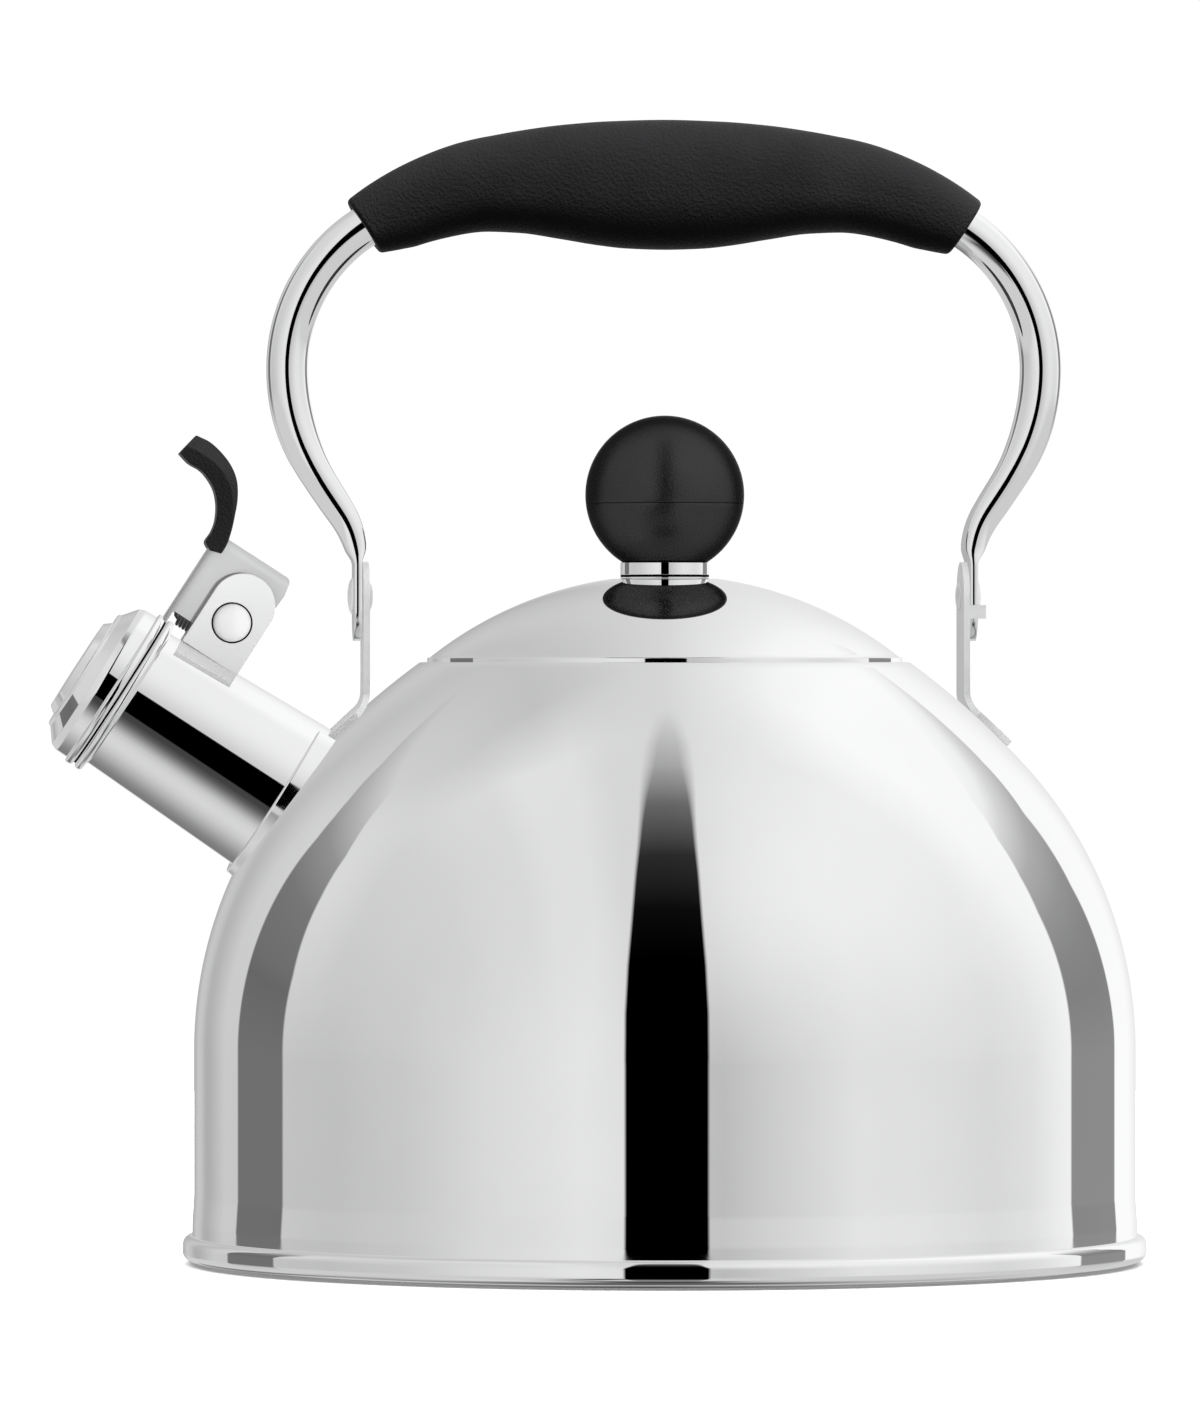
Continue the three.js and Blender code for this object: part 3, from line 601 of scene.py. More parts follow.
def build_base():
    pan = turned("base_pan_with_rolled_bead", [
        (0, 5.4, 0), (98.0, 5.4, 0.8), (98.0, 9.6, 0.3), (98.8, 9.6, 0.3), (98.8, 6.05, 0.3),
        (BEAD_R, 6.05, 2.4), (BEAD_R, 0.9, 2.4), (98.9, 0.9, 1.1), (97.4, 4.6, 0.8), (0, 4.6, 0),
    ], 256, closed=False, step=8)
    dress(pan, MIRROR, "kettle", "polished_steel", "base_pan")
    cover = turned("base_disc_cover", [
        (0, 0, 0), (95.1, 0, 1.0), (95.1, 4.3, 0.2), (94.3, 4.3, 0.2), (94.3, 0.8, 0.5), (0, 0.8, 0),
    ], 192, closed=False)
    dress(cover, SATIN, "kettle", "satin_steel", "base_cover")


# ---- spout ----
def on_dome(lift):
    def warp(angle, r, z):
        return spout_to_dome(angle, r, lift) if z < -5 else z
    return warp


def build_spout():
    wall = 1.0
    lip_low = SPOUT_LENGTH - 0.1
    lip_high = SPOUT_LENGTH + 1.7
    tube = turned("spout_tube_with_lip", [
        (SPOUT_ROOT_R, -6, 0), (SPOUT_ROOT_R, 0.4, 0), (SPOUT_MOUTH_R, lip_low, 0.5), (LIP_R, lip_low, 0.85),
        (LIP_R, lip_high, 0.85), (SPOUT_MOUTH_R - wall, lip_high, 0.8), (SPOUT_ROOT_R - wall, 0.4, 0),
        (SPOUT_ROOT_R - wall, -6, 0),
    ], 160, SPOUT, warp=on_dome(0.05))
    dress(tube, MIRROR_SPOUT, "kettle", "polished_steel", "spout_tube")
    gap = degrees(asin(11.4 / 19.6))
    flange = turned("spout_joint_ring", [
        (17.75, -6, 0), (19.75, -6, 0), (19.55, 0.9, 0.45), (18.0, 0.9, 0.25), (17.75, 0.4, 0),
    ], 128, SPOUT, warp=on_dome(0.04), span=(gap, 360 - gap))
    dress(flange, MIRROR_SPOUT, "kettle", "polished_steel", "spout_flange")


def spout_radius(s):
    return SPOUT_ROOT_R + (SPOUT_MOUTH_R - SPOUT_ROOT_R) * max(s, 0) / SPOUT_LENGTH


def build_spout_bracket():
    half = 6.85
    sheet = 1.2
    ears = []
    for side in (-1, 1):
        crown = arc(PIN_T + 4.3, PIN_S, half, -90, 90, 28)
        outline = [(16.2, PIN_S - half)] + crown + [(16.2, PIN_S + half)]
        y0, y1 = sorted((side * 6.9, side * 8.1))
        ears.append(slab(f"ear_{side}", outline, y0, y1, bevel=0.25))
    rows = []
    for k in range(13):
        s = PIN_S - half + 2 * half * k / 12
        base = spout_radius(s) + 0.15
        reach = asin(10.6 / base)
        rows.append([(base * cos(a), base * sin(a), s) for a in np.linspace(-reach, reach, 41)])
    saddle = sheet_of("spout_lever_bracket", rows, sheet)
    for ear in ears:
        combine(saddle, ear, "UNION")
    for side in (-1, 1):
        combine(saddle, cylinder("sunk seat", 4.37, side * 7.7, side * 9, 64, ACROSS_PIN), "DIFFERENCE")
    soften(saddle, 0.22, angle=60)
    saddle.data.transform(SPOUT)
    tidy_mesh(saddle.data)
    dress(saddle, BRIGHT_EAR, "kettle", "polished_steel", "spout_bracket")


def build_lever_pin():
    """Pin whose domed heads sit in sunk seats in the two ears, each seat lined with a black ring of painted
    shade.
    """
    profile = []
    for side in (-1, 1):
        dome = [(4.0 * cos(a), 8.1 + 1.7 * sin(a)) for a in np.radians(np.linspace(90, 0, 14))]
        dome += [(3.95, 7.78), (2.0, 7.74)]
        part = [(r, side * z) for r, z in dome]
        profile += part if side < 0 else part[::-1]
    pin = revolve("lever_pin_domed", profile, 64, SPOUT @ ACROSS_PIN, closed=False)
    dress(pin, BRIGHT_PIN, "kettle", "polished_steel", "lever_pin")
    # Black rings in the sunk seats round the pin heads: painted shade.
    for side, name in ((-1, "lever_pin_seat_front"), (1, "lever_pin_seat_back")):
        section = [(4.05, side * 7.72), (4.33, side * 7.72), (4.33, side * 8.06), (4.05, side * 8.0)]
        seat = revolve(name, section, 64, SPOUT @ ACROSS_PIN)
        dress(seat, PAINTED_SHADE_BLACK, "kettle", "spring_steel")


def build_lever_spring():
    radius = 3.3
    turns = 6
    coil = [(PIN_T + radius * cos(a), -3.2 + 6.4 * i / (turns * 24), PIN_S + radius * sin(a))
            for i, a in ((i, pi * 1.5 + pi * 2 * i / 24) for i in range(turns * 24 - 11))]
    first = [(PIN_T - 5.9, -3.2, PIN_S - 2.6), (PIN_T - 3.2, -3.2, PIN_S - 3.1)]
    across = [(PIN_T - 3.8, 3.2, PIN_S + 2.4), (PIN_T - 5.0, 0.6, PIN_S + 3.8)]
    hook = [(PIN_T - 5.3 + 1.2 * cos(a), -4.6 + 1.2 * sin(a), PIN_S + 6.2 + 4.0 * k / 80)
            for k, a in ((k, pi / 2 + pi * 2 * k / 16) for k in range(81))]
    tail = [(PIN_T - 5.0, -4.2, PIN_S + 10.8), (PIN_T - 4.2, -4.2, PIN_S + 11.2)]
    path = spline(first, 6)[:-1] + [Vector(p) for p in coil[1:]] + spline(across, 6)
    path += [Vector(p) for p in hook] + [Vector(p) for p in tail]
    spring = wire("lever_torsion_spring", path, 0.38, 12, SPOUT)
    dress(spring, SPRING, "kettle", "spring_steel", "lever_spring")


# ---- whistle and lever ----
def build_whistle():
    cap = turned("whistle_cap_shell", [
        (16.9, -0.3, 0.3), (LIP_R, -0.3, 0.8), (LIP_R, 1.4, 0.8), (17.6, 1.4, 0.25), (17.55, 4.2, 1.6),
        (16.95, 5.6, 0.4), (14.0, 7.9, 0.4), (13.6, 8.6, 0.3), (11.95, 8.6, 0.3), (11.95, 7.8, 0.2),
        (13.3, 7.8, 0.3), (16.1, 4.8, 0.4), (16.9, 1.4, 0.3),
    ], 160, SPOUT, rise=CAP_S)
    dress(cap, MIRROR_SPOUT, "whistle_lever", "polished_steel", "whistle_cap")
    front = turned("whistle_nose_plate", [
        (2, 9.8, 0.2), (3.2, 9.9, 0.6), (8.4, 10.25, 0.8), (9.1, 9.8, 0.4), (9.6, 9.8, 0.3),
        (10.0, 10.2, 0.3), (10.3, 10.2, 0.2), (11.5, 8.7, 0.3), (11.5, 7.5, 0.3), (13.1, 7.5, 0.2),
        (13.1, 6.7, 0.2), (10.6, 6.7, 0.3), (10.6, 9.1, 0.5), (2, 9.1, 0.2),
    ], 128, SPOUT, rise=CAP_S)
    dress(front, MIRROR_SPOUT, "whistle_lever", "polished_steel", "whistle_front_plate")
    disc = [(2, 5.6, 0.1), (13.4, 5.6, 0.2), (13.4, 6.4, 0.2), (2, 6.4, 0.1)]
    back = turned("whistle_back_disc", disc, 96, SPOUT, rise=CAP_S)
    dress(back, SATIN, "whistle_lever", "satin_steel", "whistle_back_plate")
    # A black ring in the gap between the spout's lip and the cap: painted shade.
    low = SPOUT_LENGTH + 1.75
    high = CAP_S - 0.25
    gap_shade = turned("whistle_seat_ring", [
        (16.95, low, 0.1), (LIP_R - 0.8, low, 0.1), (LIP_R - 0.8, high, 0.1), (16.95, high, 0.1),
    ], 160, SPOUT)
    dress(gap_shade, PAINTED_SHADE_BLACK, "whistle_lever", "black_thermoplastic")


# Reach of the lever's channel from the pin: along the spout, and away from it.
LEVER_FRONT = PIN_S + 12.7
LEVER_CREST = PIN_T + 14.5


def lever_outline():
    heel = 5.6
    foot = 17.5
    outline = rounded([
        (foot, LEVER_FRONT, 0), (LEVER_CREST, LEVER_FRONT, 2.4), (LEVER_CREST, PIN_S - heel, 1.3),
        (PIN_T + 10.7, PIN_S - 6.3, 0.8), (PIN_T, PIN_S - heel, 0),
    ], closed=False, step=7)
    outline += arc(PIN_T, PIN_S, heel, -90, -180, 14)
    outline += rounded([
        (PIN_T - heel, PIN_S, 0), (PIN_T - 4.5, PIN_S + 4, 1.0), (PIN_T - 4.5, LEVER_FRONT - 1, 0.5),
        (foot, LEVER_FRONT - 1, 0),
    ], closed=False)[1:]
    return outline


def lever_block(name, grow, half, bevel):
    """The channel's outer or inner block: rounded where web meets flange, open below and behind."""
    front = LEVER_FRONT + grow
    crest = LEVER_CREST + grow
    outline = rounded([(5, front, 0), (crest, front, 2.4 + grow), (crest, 10, 0), (5, 10, 0)], step=7)
    return slab(name, outline, -half, half, bevel=bevel, segments=8)


def build_lever_arm():
    sheet = 1.0
    half = 6.4
    arm = lever_block("whistle_lever_channel", 0.0, half, 2.3)
    combine(arm, lever_block("hollow", -sheet, half - sheet, 1.3), "DIFFERENCE")
    combine(arm, slab("outline", lever_outline(), -8, 8), "INTERSECT")
    combine(arm, cylinder("cap room", LIP_R + 0.05, 30, 50, 96), "DIFFERENCE")
    combine(arm, cylinder("bore", 2.1, -12, 12, 40, ACROSS_PIN), "DIFFERENCE")
    arm.data.transform(SPOUT)
    tidy_mesh(arm.data)
    dress(arm, BRIGHT_LEVER, "whistle_lever", "polished_steel", "lever_arm")


def build_thumb_tip():
    """Curved moulding, hollow towards the spout mouth, its back edges chamfered more towards the end."""
    near_side = spline([
        (-4.6, 0, 15.3), (-5.5, 0, 17.2), (-4.2, 0, 19.3), (-3.3, 0, 21.8), (-3.1, 0, 25.3), (-3.9, 0, 28.7),
        (-6.2, 0, 32.0), (-9.0, 0, 33.8), (-11.0, 0, 35.9),
    ], 6)
    far_side = spline([
        (-2.2, 0, 14.6), (-1.0, 0, 16.6), (-0.1, 0, 19.2), (0.6, 0, 22.2), (1.3, 0, 26.3), (1.1, 0, 30.4),
        (-0.6, 0, 34.2), (-4.0, 0, 37.9), (-7.4, 0, 39.7),
    ], 6)
    rings = []
    for i, (near, far) in enumerate(zip(near_side, far_side)):
        share = i / (len(near_side) - 1)
        half = 8.0 - 0.9 * sin(pi * share) - 0.5 * share
        across = (near - far).normalized()
        thick = (near - far).length
        chamfer = min(0.3 + 2.9 * min(max((share - 0.36) / 0.5, 0), 1), 0.62 * thick)
        corners = [
            (0, half - chamfer), (chamfer, half), (thick, half),
            (thick, -half), (chamfer, -half), (0, -half + chamfer),
        ]
        rings.append([PIN + far + across * a + Vector((0, b, 0)) for a, b in corners])
    tip = loft("thumb_tip_moulding", rings)
    soften(tip, 0.7, angle=34, segments=4)
    dress(tip, TIP_BLACK, "whistle_lever", "black_thermoplastic", "thumb_tip")


# ---- handle ----
GRIP_Z = 227.83
SCREW_X = 24.0
BAIL_Z = 190.0


def handle_path():
    """Lines and arcs along the middle of the tube's right half, from its lower end up, and their lengths."""
    leg = 65.5
    knee = 148.3
    bend = 20.0
    flat_end = 37.09
    turn = radians(33)
    rise = radians(31.7)
    upright = pi / 2
    pieces = [
        ("line", (leg, 132.2), (leg, knee)),
        ("arc", (leg + bend, knee), bend, pi, pi - turn),
        ("line", (leg + bend * (1 - cos(turn)), knee + bend * sin(turn)), (73.3, 166.24)),
        ("arc", (36.7, BAIL_Z), 43.6, -turn, 0.0),
        ("arc", (44.6, BAIL_Z), 35.7, 0.0, upright - rise),
        ("arc", (flat_end, 177.83), 50.0, upright - rise, upright),
        ("line", (flat_end, GRIP_Z), (0.0, GRIP_Z)),
    ]
    lengths = []
    for part in pieces:
        if part[0] == "line":
            lengths.append((Vector(part[2]) - Vector(part[1])).length)
        else:
            lengths.append(part[2] * abs(part[4] - part[3]))
    return pieces, lengths


PATH, PATH_LENGTHS = handle_path()
HALF = sum(PATH_LENGTHS)


def on_path(distance, side):
    """Point on the tube's middle line and the in-plane normal that points out of the bail."""
    left = min(distance, HALF - 1e-6)
    for part, length in zip(PATH, PATH_LENGTHS):
        if left <= length:
            break
        left -= length
    if part[0] == "line":
        tangent = (Vector(part[2]) - Vector(part[1])).normalized()
        point = Vector(part[1]) + tangent * left
    else:
        _, centre, radius, start, end = part
        way = copysign(1, end - start)
        angle = start + way * left / radius
        point = Vector(centre) + radius * Vector((cos(angle), sin(angle)))
        tangent = way * Vector((-sin(angle), cos(angle)))
    normal = Vector((side * tangent.y, 0, -tangent.x))
    return Vector((side * point.x, 0, point.y)), normal


TUBE_THICKNESS = [
    (0, 0.8), (16.2, 0.8), (19.5, 2.1), (22.5, 2.55), (26.2, 2.95), (31, 3.25), (36, 3.4), (40, 3.65),
    (44, 4.0), (52, 4.4), (58, 4.45), (200, 4.45),
]
TUBE_TIP_R = 6.5


def tube_ring(distance, side):
    """Section of the tube: round in the bail, pressed flat with nearly square edges at its ends."""
    point, normal = on_path(distance, side)
    thin = smooth_between(TUBE_THICKNESS, distance)
    wide = 7 - (pi / 2 - 1) * thin
    if distance < TUBE_TIP_R:
        wide = min(wide, sqrt(TUBE_TIP_R ** 2 - (TUBE_TIP_R - max(distance, 0.15)) ** 2) + 0.05)
    end = thin * (0.3 + 0.7 * (thin / TUBE_THICKNESS[-1][1]) ** 2)
    ring = []
    for k in range(48):
        angle = 2 * pi * (k + 0.5) / 48
        y = end * sin(angle) + copysign(max(wide - end, 0), sin(angle))
        p = point + normal * thin * cos(angle)
        ring.append((p.x, y, p.z))
    return ring


def build_handle():
    stations = list(np.linspace(0, TUBE_TIP_R, 14)) + list(np.linspace(7.5, 15.5, 5))
    stations += list(np.linspace(16.2, 60, 46)) + list(np.linspace(61.2, 125.1, 54)) + [132.0, 145.0]
    rings = [tube_ring(d, -1) for d in stations] + [tube_ring(d, 1) for d in reversed(stations)]
    tube = loft("handle_bent_tube", rings)
    dress(tube, MIRROR_TUBE, "handle", "polished_steel", "handle_tube")
    build_grip_half(-1, "grip_front_shell", "grip_front")
    build_grip_half(1, "grip_back_shell", "grip_back")
    build_grip_screw(-1, "grip_screw_left")
    build_grip_screw(1, "grip_screw_right")


GRIP_ABOVE = [
    (0, 15.1), (12, 14.75), (22, 13.95), (31, 12.7), (42, 10.6), (50, 9.0), (58, 7.7), (65, 6.75),
]
GRIP_BELOW = [
    (0, 12.5), (8, 12.25), (14, 11.6), (22, 10.3), (31, 9.0), (38, 8.75), (48, 9.0), (56, 8.8), (61, 7.9),
    (65, 6.7),
]
GRIP_BESIDE = [(0, 12.0), (30, 10.7), (50, 8.7), (65, 7.4)]
GRIP_HALF = 65.6


def grip_section(from_middle, path_side, half_side):
    """Closed C-shaped section of one grip half, open for the tube, with its parting edges eased."""
    point, normal = on_path(HALF - from_middle, path_side)
    ease = 0.9
    inset = 0.0
    left = GRIP_HALF - from_middle
    if left < ease:
        inset = ease - sqrt(max(ease ** 2 - (ease - left) ** 2, 0))
    above = smooth_between(GRIP_ABOVE, from_middle) - inset
    below = smooth_between(GRIP_BELOW, from_middle) - inset
    beside = smooth_between(GRIP_BESIDE, from_middle) - inset
    section = []
    count = 40
    gap = 0.06
    hole = 4.5
    for k in range(count + 1):
        angle = pi / 2 - pi * k / count
        c = cos(angle)
        s = sin(angle)
        height = (above if s > 0 else below) * copysign(abs(s) ** 0.86, s)
        y = beside * max(c, 0) ** 0.84
        seam = max(0.0, 1 - y / 0.5) if k in (0, count) else 0.0
        section.append((gap + y, height * (1 - 0.022 * seam)))
    for k in range(17):
        angle = -pi / 2 + pi * k / 16
        section.append((gap + hole * cos(angle) * 0.99, hole * sin(angle)))
    return [tuple(point + normal * h + Vector((0, half_side * y, 0))) for y, h in section]


def build_grip_half(half_side, name, cad):
    ends = [GRIP_HALF - u for u in (0.0, 0.07, 0.2, 0.4, 0.65, 0.9)]
    stations = ends + list(np.linspace(62.4, 1.2, 52)) + [0.0]
    rings = [grip_section(d, -1, half_side) for d in stations]
    rings += [grip_section(d, 1, half_side) for d in reversed(stations[:-1])]
    grip = loft(name, rings)
    if half_side > 0:
        for side in (-1, 1):
            well = cylinder("well", 3.1, 7.2, 30, 48, along_y(side * SCREW_X, GRIP_Z))
            combine(grip, well, "DIFFERENCE")
    dress(grip, GRIP_BLACK, "handle", "soft_black_grip", cad)


def build_grip_screw(side, cad):
    screw = turned(f"{cad}_pan_head", [
        (0, -7.8, 0), (1.5, -7.0, 0.2), (1.5, 7.2, 0), (2.8, 7.2, 0.1), (2.8, 8.0, 0.5), (1.6, 8.95, 0.8),
        (0, 9.0, 0),
    ], 40, closed=False)
    for quarter in (0, 1):
        x, y = (1.6, 0.3) if quarter else (0.3, 1.6)
        outline = [(-x, 8.1), (x, 8.1), (x * 1.15, 9.6), (-x * 1.15, 9.6)]
        combine(screw, slab("slot", outline, -y, y), "DIFFERENCE")
    screw.data.transform(along_y(side * SCREW_X, GRIP_Z))
    tidy_mesh(screw.data)
    dress(screw, SATIN, "handle", "satin_steel", cad)


# ---- handle brackets and rivets ----
STRIP_X = 63.1
STRIP_HALF = 8
FOOT_X = 65.8
FOOT_R = 7
ABOVE_DOME = 0.15


def strip_bend_row(across, share, bend):
    """One row of the curve between the upright strip and its foot, which leaves along the dome's slope."""
    width = STRIP_HALF + 3 * share ** 1.5
    row = []
    for u in across:
        y = width * u
        corner_z = dome_z(hypot(STRIP_X, y), ABOVE_DOME)
        fall = dome_z(hypot(STRIP_X, y)) - dome_z(hypot(STRIP_X + 2, y))
        slope = atan2(fall, 2.0)
        start = Vector((STRIP_X, y, corner_z + bend))
        corner = Vector((STRIP_X, y, corner_z))
        end = corner + bend * Vector((cos(slope), 0, -sin(slope)))
        w = 1 - share
        row.append(tuple(w * w * start + 2 * w * share * corner + share * share * end))
    return row


def build_handle_bracket(side, name, cad):
    """Upright strip that turns out into a foot lying on the dome."""
    rows = []
    across = np.linspace(-1, 1, 33)
    crown_z = PIVOT_Z - 0.7
    for turn in np.radians([86, 78, 70, 60, 50, 40, 30, 20, 10, 0]):
        z = crown_z + STRIP_HALF * sin(turn)
        rows.append([(STRIP_X, STRIP_HALF * cos(turn) * u, z) for u in across])
    for z in (138.0, 134.0, 130.0, 127.0, 124.5):
        rows.append([(STRIP_X, STRIP_HALF * u, z) for u in across])
    bend = 3.0
    steps = 10
    rows += [strip_bend_row(across, k / steps, bend) for k in range(1, steps + 1)]
    flat_x = STRIP_X + bend * cos(radians(47)) + 0.5
    stops = [flat_x + (FOOT_X - flat_x) * k / 2 for k in range(3)]
    stops += [FOOT_X + FOOT_R * sin(radians(a)) for a in (12, 24, 36, 47, 57, 66, 74, 81, 87)]
    for x in stops:
        width = 4 + sqrt(max(FOOT_R ** 2 - max(x - FOOT_X, 0) ** 2, 0))
        rows.append([(x, width * u, dome_z(hypot(x, width * u), ABOVE_DOME)) for u in across])
    bracket = sheet_of(name, rows, 1.3)
    if side < 0:
        bracket.data.transform(Matrix.Diagonal((-1, 1, 1, 1)))
        bracket.data.flip_normals()
        combine(bracket, cylinder("spout room", 18.0, -12, 12, 96, SPOUT), "DIFFERENCE")
    else:
        stop = [(STRIP_X, 136.9), (67.8, 136.9), (67.8, 139.8), (STRIP_X, 139.8)]
        combine(bracket, slab("tab", stop, -8.0, -7.0), "UNION")
    soften(bracket, 0.22, angle=55)
    dress(bracket, BRIGHT, "kettle", "polished_steel", cad)


def build_rivet(side, name, cad):
    dome = [(3.8 * cos(a), 66.45 + 1.05 * sin(a)) for a in np.radians(np.linspace(90, 0, 12))]
    inner = [(3.0 * cos(a), 62.9 - 0.8 * sin(a)) for a in np.radians(np.linspace(0, 90, 10))]
    profile = dome + [(3.7, 66.32), (1.9, 66.32), (1.9, 63.0)] + inner
    turn = Matrix.Translation((0, 0, PIVOT_Z * MM)) @ Matrix.Rotation(side * pi / 2, 4, "Y")
    rivet = revolve(name, profile, 56, turn, closed=False)
    dress(rivet, BRIGHT, "kettle", "polished_steel", cad)


# ---- lid and knob ----
def lid_angle(radius, sphere):
    return degrees(acos(radius / sphere))


def build_lid():
    inside = LID_SPHERE_R - SHEET
    seat = sqrt(LID_SPHERE_R ** 2 - (SEAT_Z - LID_SPHERE_Z) ** 2)
    rim = LID_R - SHEET
    profile = [(2.1, SEAT_Z)]
    profile += arc(0, LID_SPHERE_Z, LID_SPHERE_R, lid_angle(seat, LID_SPHERE_R),
                   lid_angle(LID_R - 0.6, LID_SPHERE_R), 40)
    profile += rounded([
        (LID_R - 0.3, 128.66, 0), (LID_R, 128.6, 0.1), (LID_R, 127.0, 0.2), (rim, 127.0, 0.15),
        (rim, 127.7, 0),
    ], closed=False)
    profile += arc(0, LID_SPHERE_Z, inside, lid_angle(rim, inside), lid_angle(seat, inside), 36)
    profile += [(2.1, LID_SPHERE_Z + sqrt(inside ** 2 - seat ** 2))]
    lid = revolve("lid_dome", profile, 224)
    dress(lid, MIRROR, "lid", "polished_steel", "lid_shell")
    outer = inside - 0.1
    inner = outer - 0.7
    section = [(45.5, 118.1), (45.6, 118.0), (46.1, 118.0), (46.2, 118.1)]
    section += arc(0, LID_SPHERE_Z, outer, lid_angle(46.2, outer), lid_angle(40.5, outer), 6)
    section += arc(0, LID_SPHERE_Z, inner, lid_angle(40.5, inner), lid_angle(45.5, inner), 6)
    dress(revolve("lid_inner_skirt", section, 160), SATIN, "lid", "satin_steel", "lid_skirt")


def build_collar():
    """The two bright rings under the knob. Their joint is 1 mm lower than in CAD, where the photo has it."""
    radius = 9.45
    neck = radius - 0.6
    low = SEAT_Z + 0.02
    high = KNOB_BOTTOM - 0.05
    joint = top("lid_boss") - 1.0
    ledge = bottom("knob_ferrule") - 1.0 + 0.12
    boss = turned("lid_boss_ring", [
        (2.0, low, 0), (radius - 0.1, low, 0.4), (radius, joint, 0.12), (2.0, joint, 0),
    ], 128)
    dress(boss, MIRROR, "lid", "polished_steel", "lid_boss", mirrored=True)
    # A black ring in the joint between the two collar rings: painted shade.
    line = ring("collar_joint_line", radius - 0.7, radius - 0.04, joint - 0.02, ledge)
    dress(line, PAINTED_SHADE_BLACK, "lid", "black_thermoplastic", mirrored=True)
    ferrule = turned("knob_ferrule_ring", [
        (2.0, joint, 0), (neck, joint, 0), (neck, ledge, 0), (radius, ledge, 0.12), (radius, high, 0.12),
        (2.0, high, 0),
    ], 128)
    dress(ferrule, MIRROR, "lid", "polished_steel", "knob_ferrule", mirrored=True)


def knob_angle(z, radius=KNOB_R):
    return degrees(asin((z - KNOB_Z) / radius))


def build_knob():
    """Two hollow halves of a ball, with a small groove at their parting line and a dark ring in it as
    painted shade.
    """
    parting = KNOB_PARTING
    tongue = KNOB_R - 0.3
    groove = KNOB_R - 0.16
    inside = KNOB_R - 2.6
    lower = arc(0, KNOB_Z, KNOB_R, knob_angle(KNOB_BOTTOM) + 1.2, knob_angle(parting - 0.3), 28)
    section = [(3.1, KNOB_BOTTOM), (lower[0][0] - 0.25, KNOB_BOTTOM)] + lower + [
        (groove, parting - 0.08), (tongue, parting - 0.08), (tongue, parting + 0.05), (13.6, parting + 0.05),
        (13.6, parting + 2.2), (12, parting + 2.2), (10.5, KNOB_BOTTOM + 9), (3.1, KNOB_BOTTOM + 9)]
    base = revolve("knob_lower_half", section, 128)
    dress(base, KNOB_BLACK, "lid", "black_thermoplastic", "knob_base", mirrored=True)
    # The black ring in the parting groove is painted shade.
    seam = ring("knob_parting_line", KNOB_R - 0.29, KNOB_R - 0.08, parting - 0.07, parting + 0.07)
    dress(seam, PAINTED_SHADE_BLACK, "lid", "black_thermoplastic")
    section = arc(0, KNOB_Z, KNOB_R, 90, knob_angle(parting + 0.3), 44)
    section[0] = (0, KNOB_Z + KNOB_R)
    section += [(groove, parting + 0.08), (14, parting + 0.08)]
    section += arc(0, KNOB_Z, inside, knob_angle(parting + 2.9, inside), 88, 20) + [(0, KNOB_Z + inside)]
    cap = revolve("knob_upper_half", section, 128, closed=False)
    dress(cap, KNOB_BLACK, "lid", "black_thermoplastic", "knob_cap", mirrored=True)


def build_knob_fixings():
    screw = turned("knob_fixing_screw", [
        (0, 141.2, 0), (2.6, 141.3, 0.8), (3.6, 142.2, 0.6), (3.6, 143.4, 0.2), (1.6, 143.4, 0),
        (1.6, KNOB_BOTTOM + 7.2, 0.3), (0, KNOB_BOTTOM + 7.6, 0),
    ], 40, closed=False)
    slot = slab("slot", [(-4, 140.6), (4, 140.6), (4, 142.0), (-4, 142.0)], -0.4, 0.4)
    combine(screw, slot, "DIFFERENCE")
    dress(screw, SATIN, "lid", "satin_steel", "knob_screw")
    washer = turned("knob_fixing_washer", [
        (2.1, 143.5, 0.1), (5.4, 143.5, 0.2), (5.4, 144.35, 0.2), (2.1, 144.35, 0.1),
    ], 48)
    dress(washer, SATIN, "lid", "satin_steel", "knob_washer")


def keep_cad_node(name, material):
    holder = frame["nodes"][name]
    holder.data.materials.clear()
    holder.data.materials.append(material)


# ---- studio ----
VIEW_TURN = radians(4.3)
CAMERA_DISTANCE = 2.3
CAMERA_HEIGHT = 0.131
FRAME_HEIGHT = 0.2988


def srgb(value):
    share = value / 255
    return share / 12.92 if share <= 0.04045 else ((share + 0.055) / 1.055) ** 2.4


def build_camera():
    data = bpy.data.cameras.new("camera")
    camera = place("camera", data)
    target = Vector((-0.0138, 0.0, 0.119))
    camera.location = (-CAMERA_DISTANCE * sin(VIEW_TURN), -CAMERA_DISTANCE * cos(VIEW_TURN), CAMERA_HEIGHT)
    camera.rotation_euler = (target - camera.location).to_track_quat("-Z", "Y").to_euler()
    data.sensor_width = 36.0
    data.lens = 36.0 * (target - camera.location).length / FRAME_HEIGHT
    data.clip_end = 60.0
    bpy.context.scene.camera = camera


def turn_share(turn):
    return (turn + 180) / 360


# The studio is made of curves over a direction. Levels are screen brightness, 0 to 255. A turn is in
# degrees round the kettle from the camera, a height is the sine of the elevation, a lean is the
# direction's sideways part, and a pitch is in degrees up from the camera, over the top.
# Level round the horizon, by turn.
HORIZON = [
    (-180, 225), (-175, 160), (-169, 176), (-162, 197), (-157, 193), (-152, 173), (-148, 174),
    (-136, 202), (-100, 194), (-86, 193), (-66, 201), (-44, 219), (-20, 231), (-5, 224), (5, 196),
    (14, 188), (26, 204), (48, 226), (63, 225), (86, 217), (100, 224), (118, 244), (146, 252), (157, 250),
    (164, 240), (172, 229), (180, 225),
]
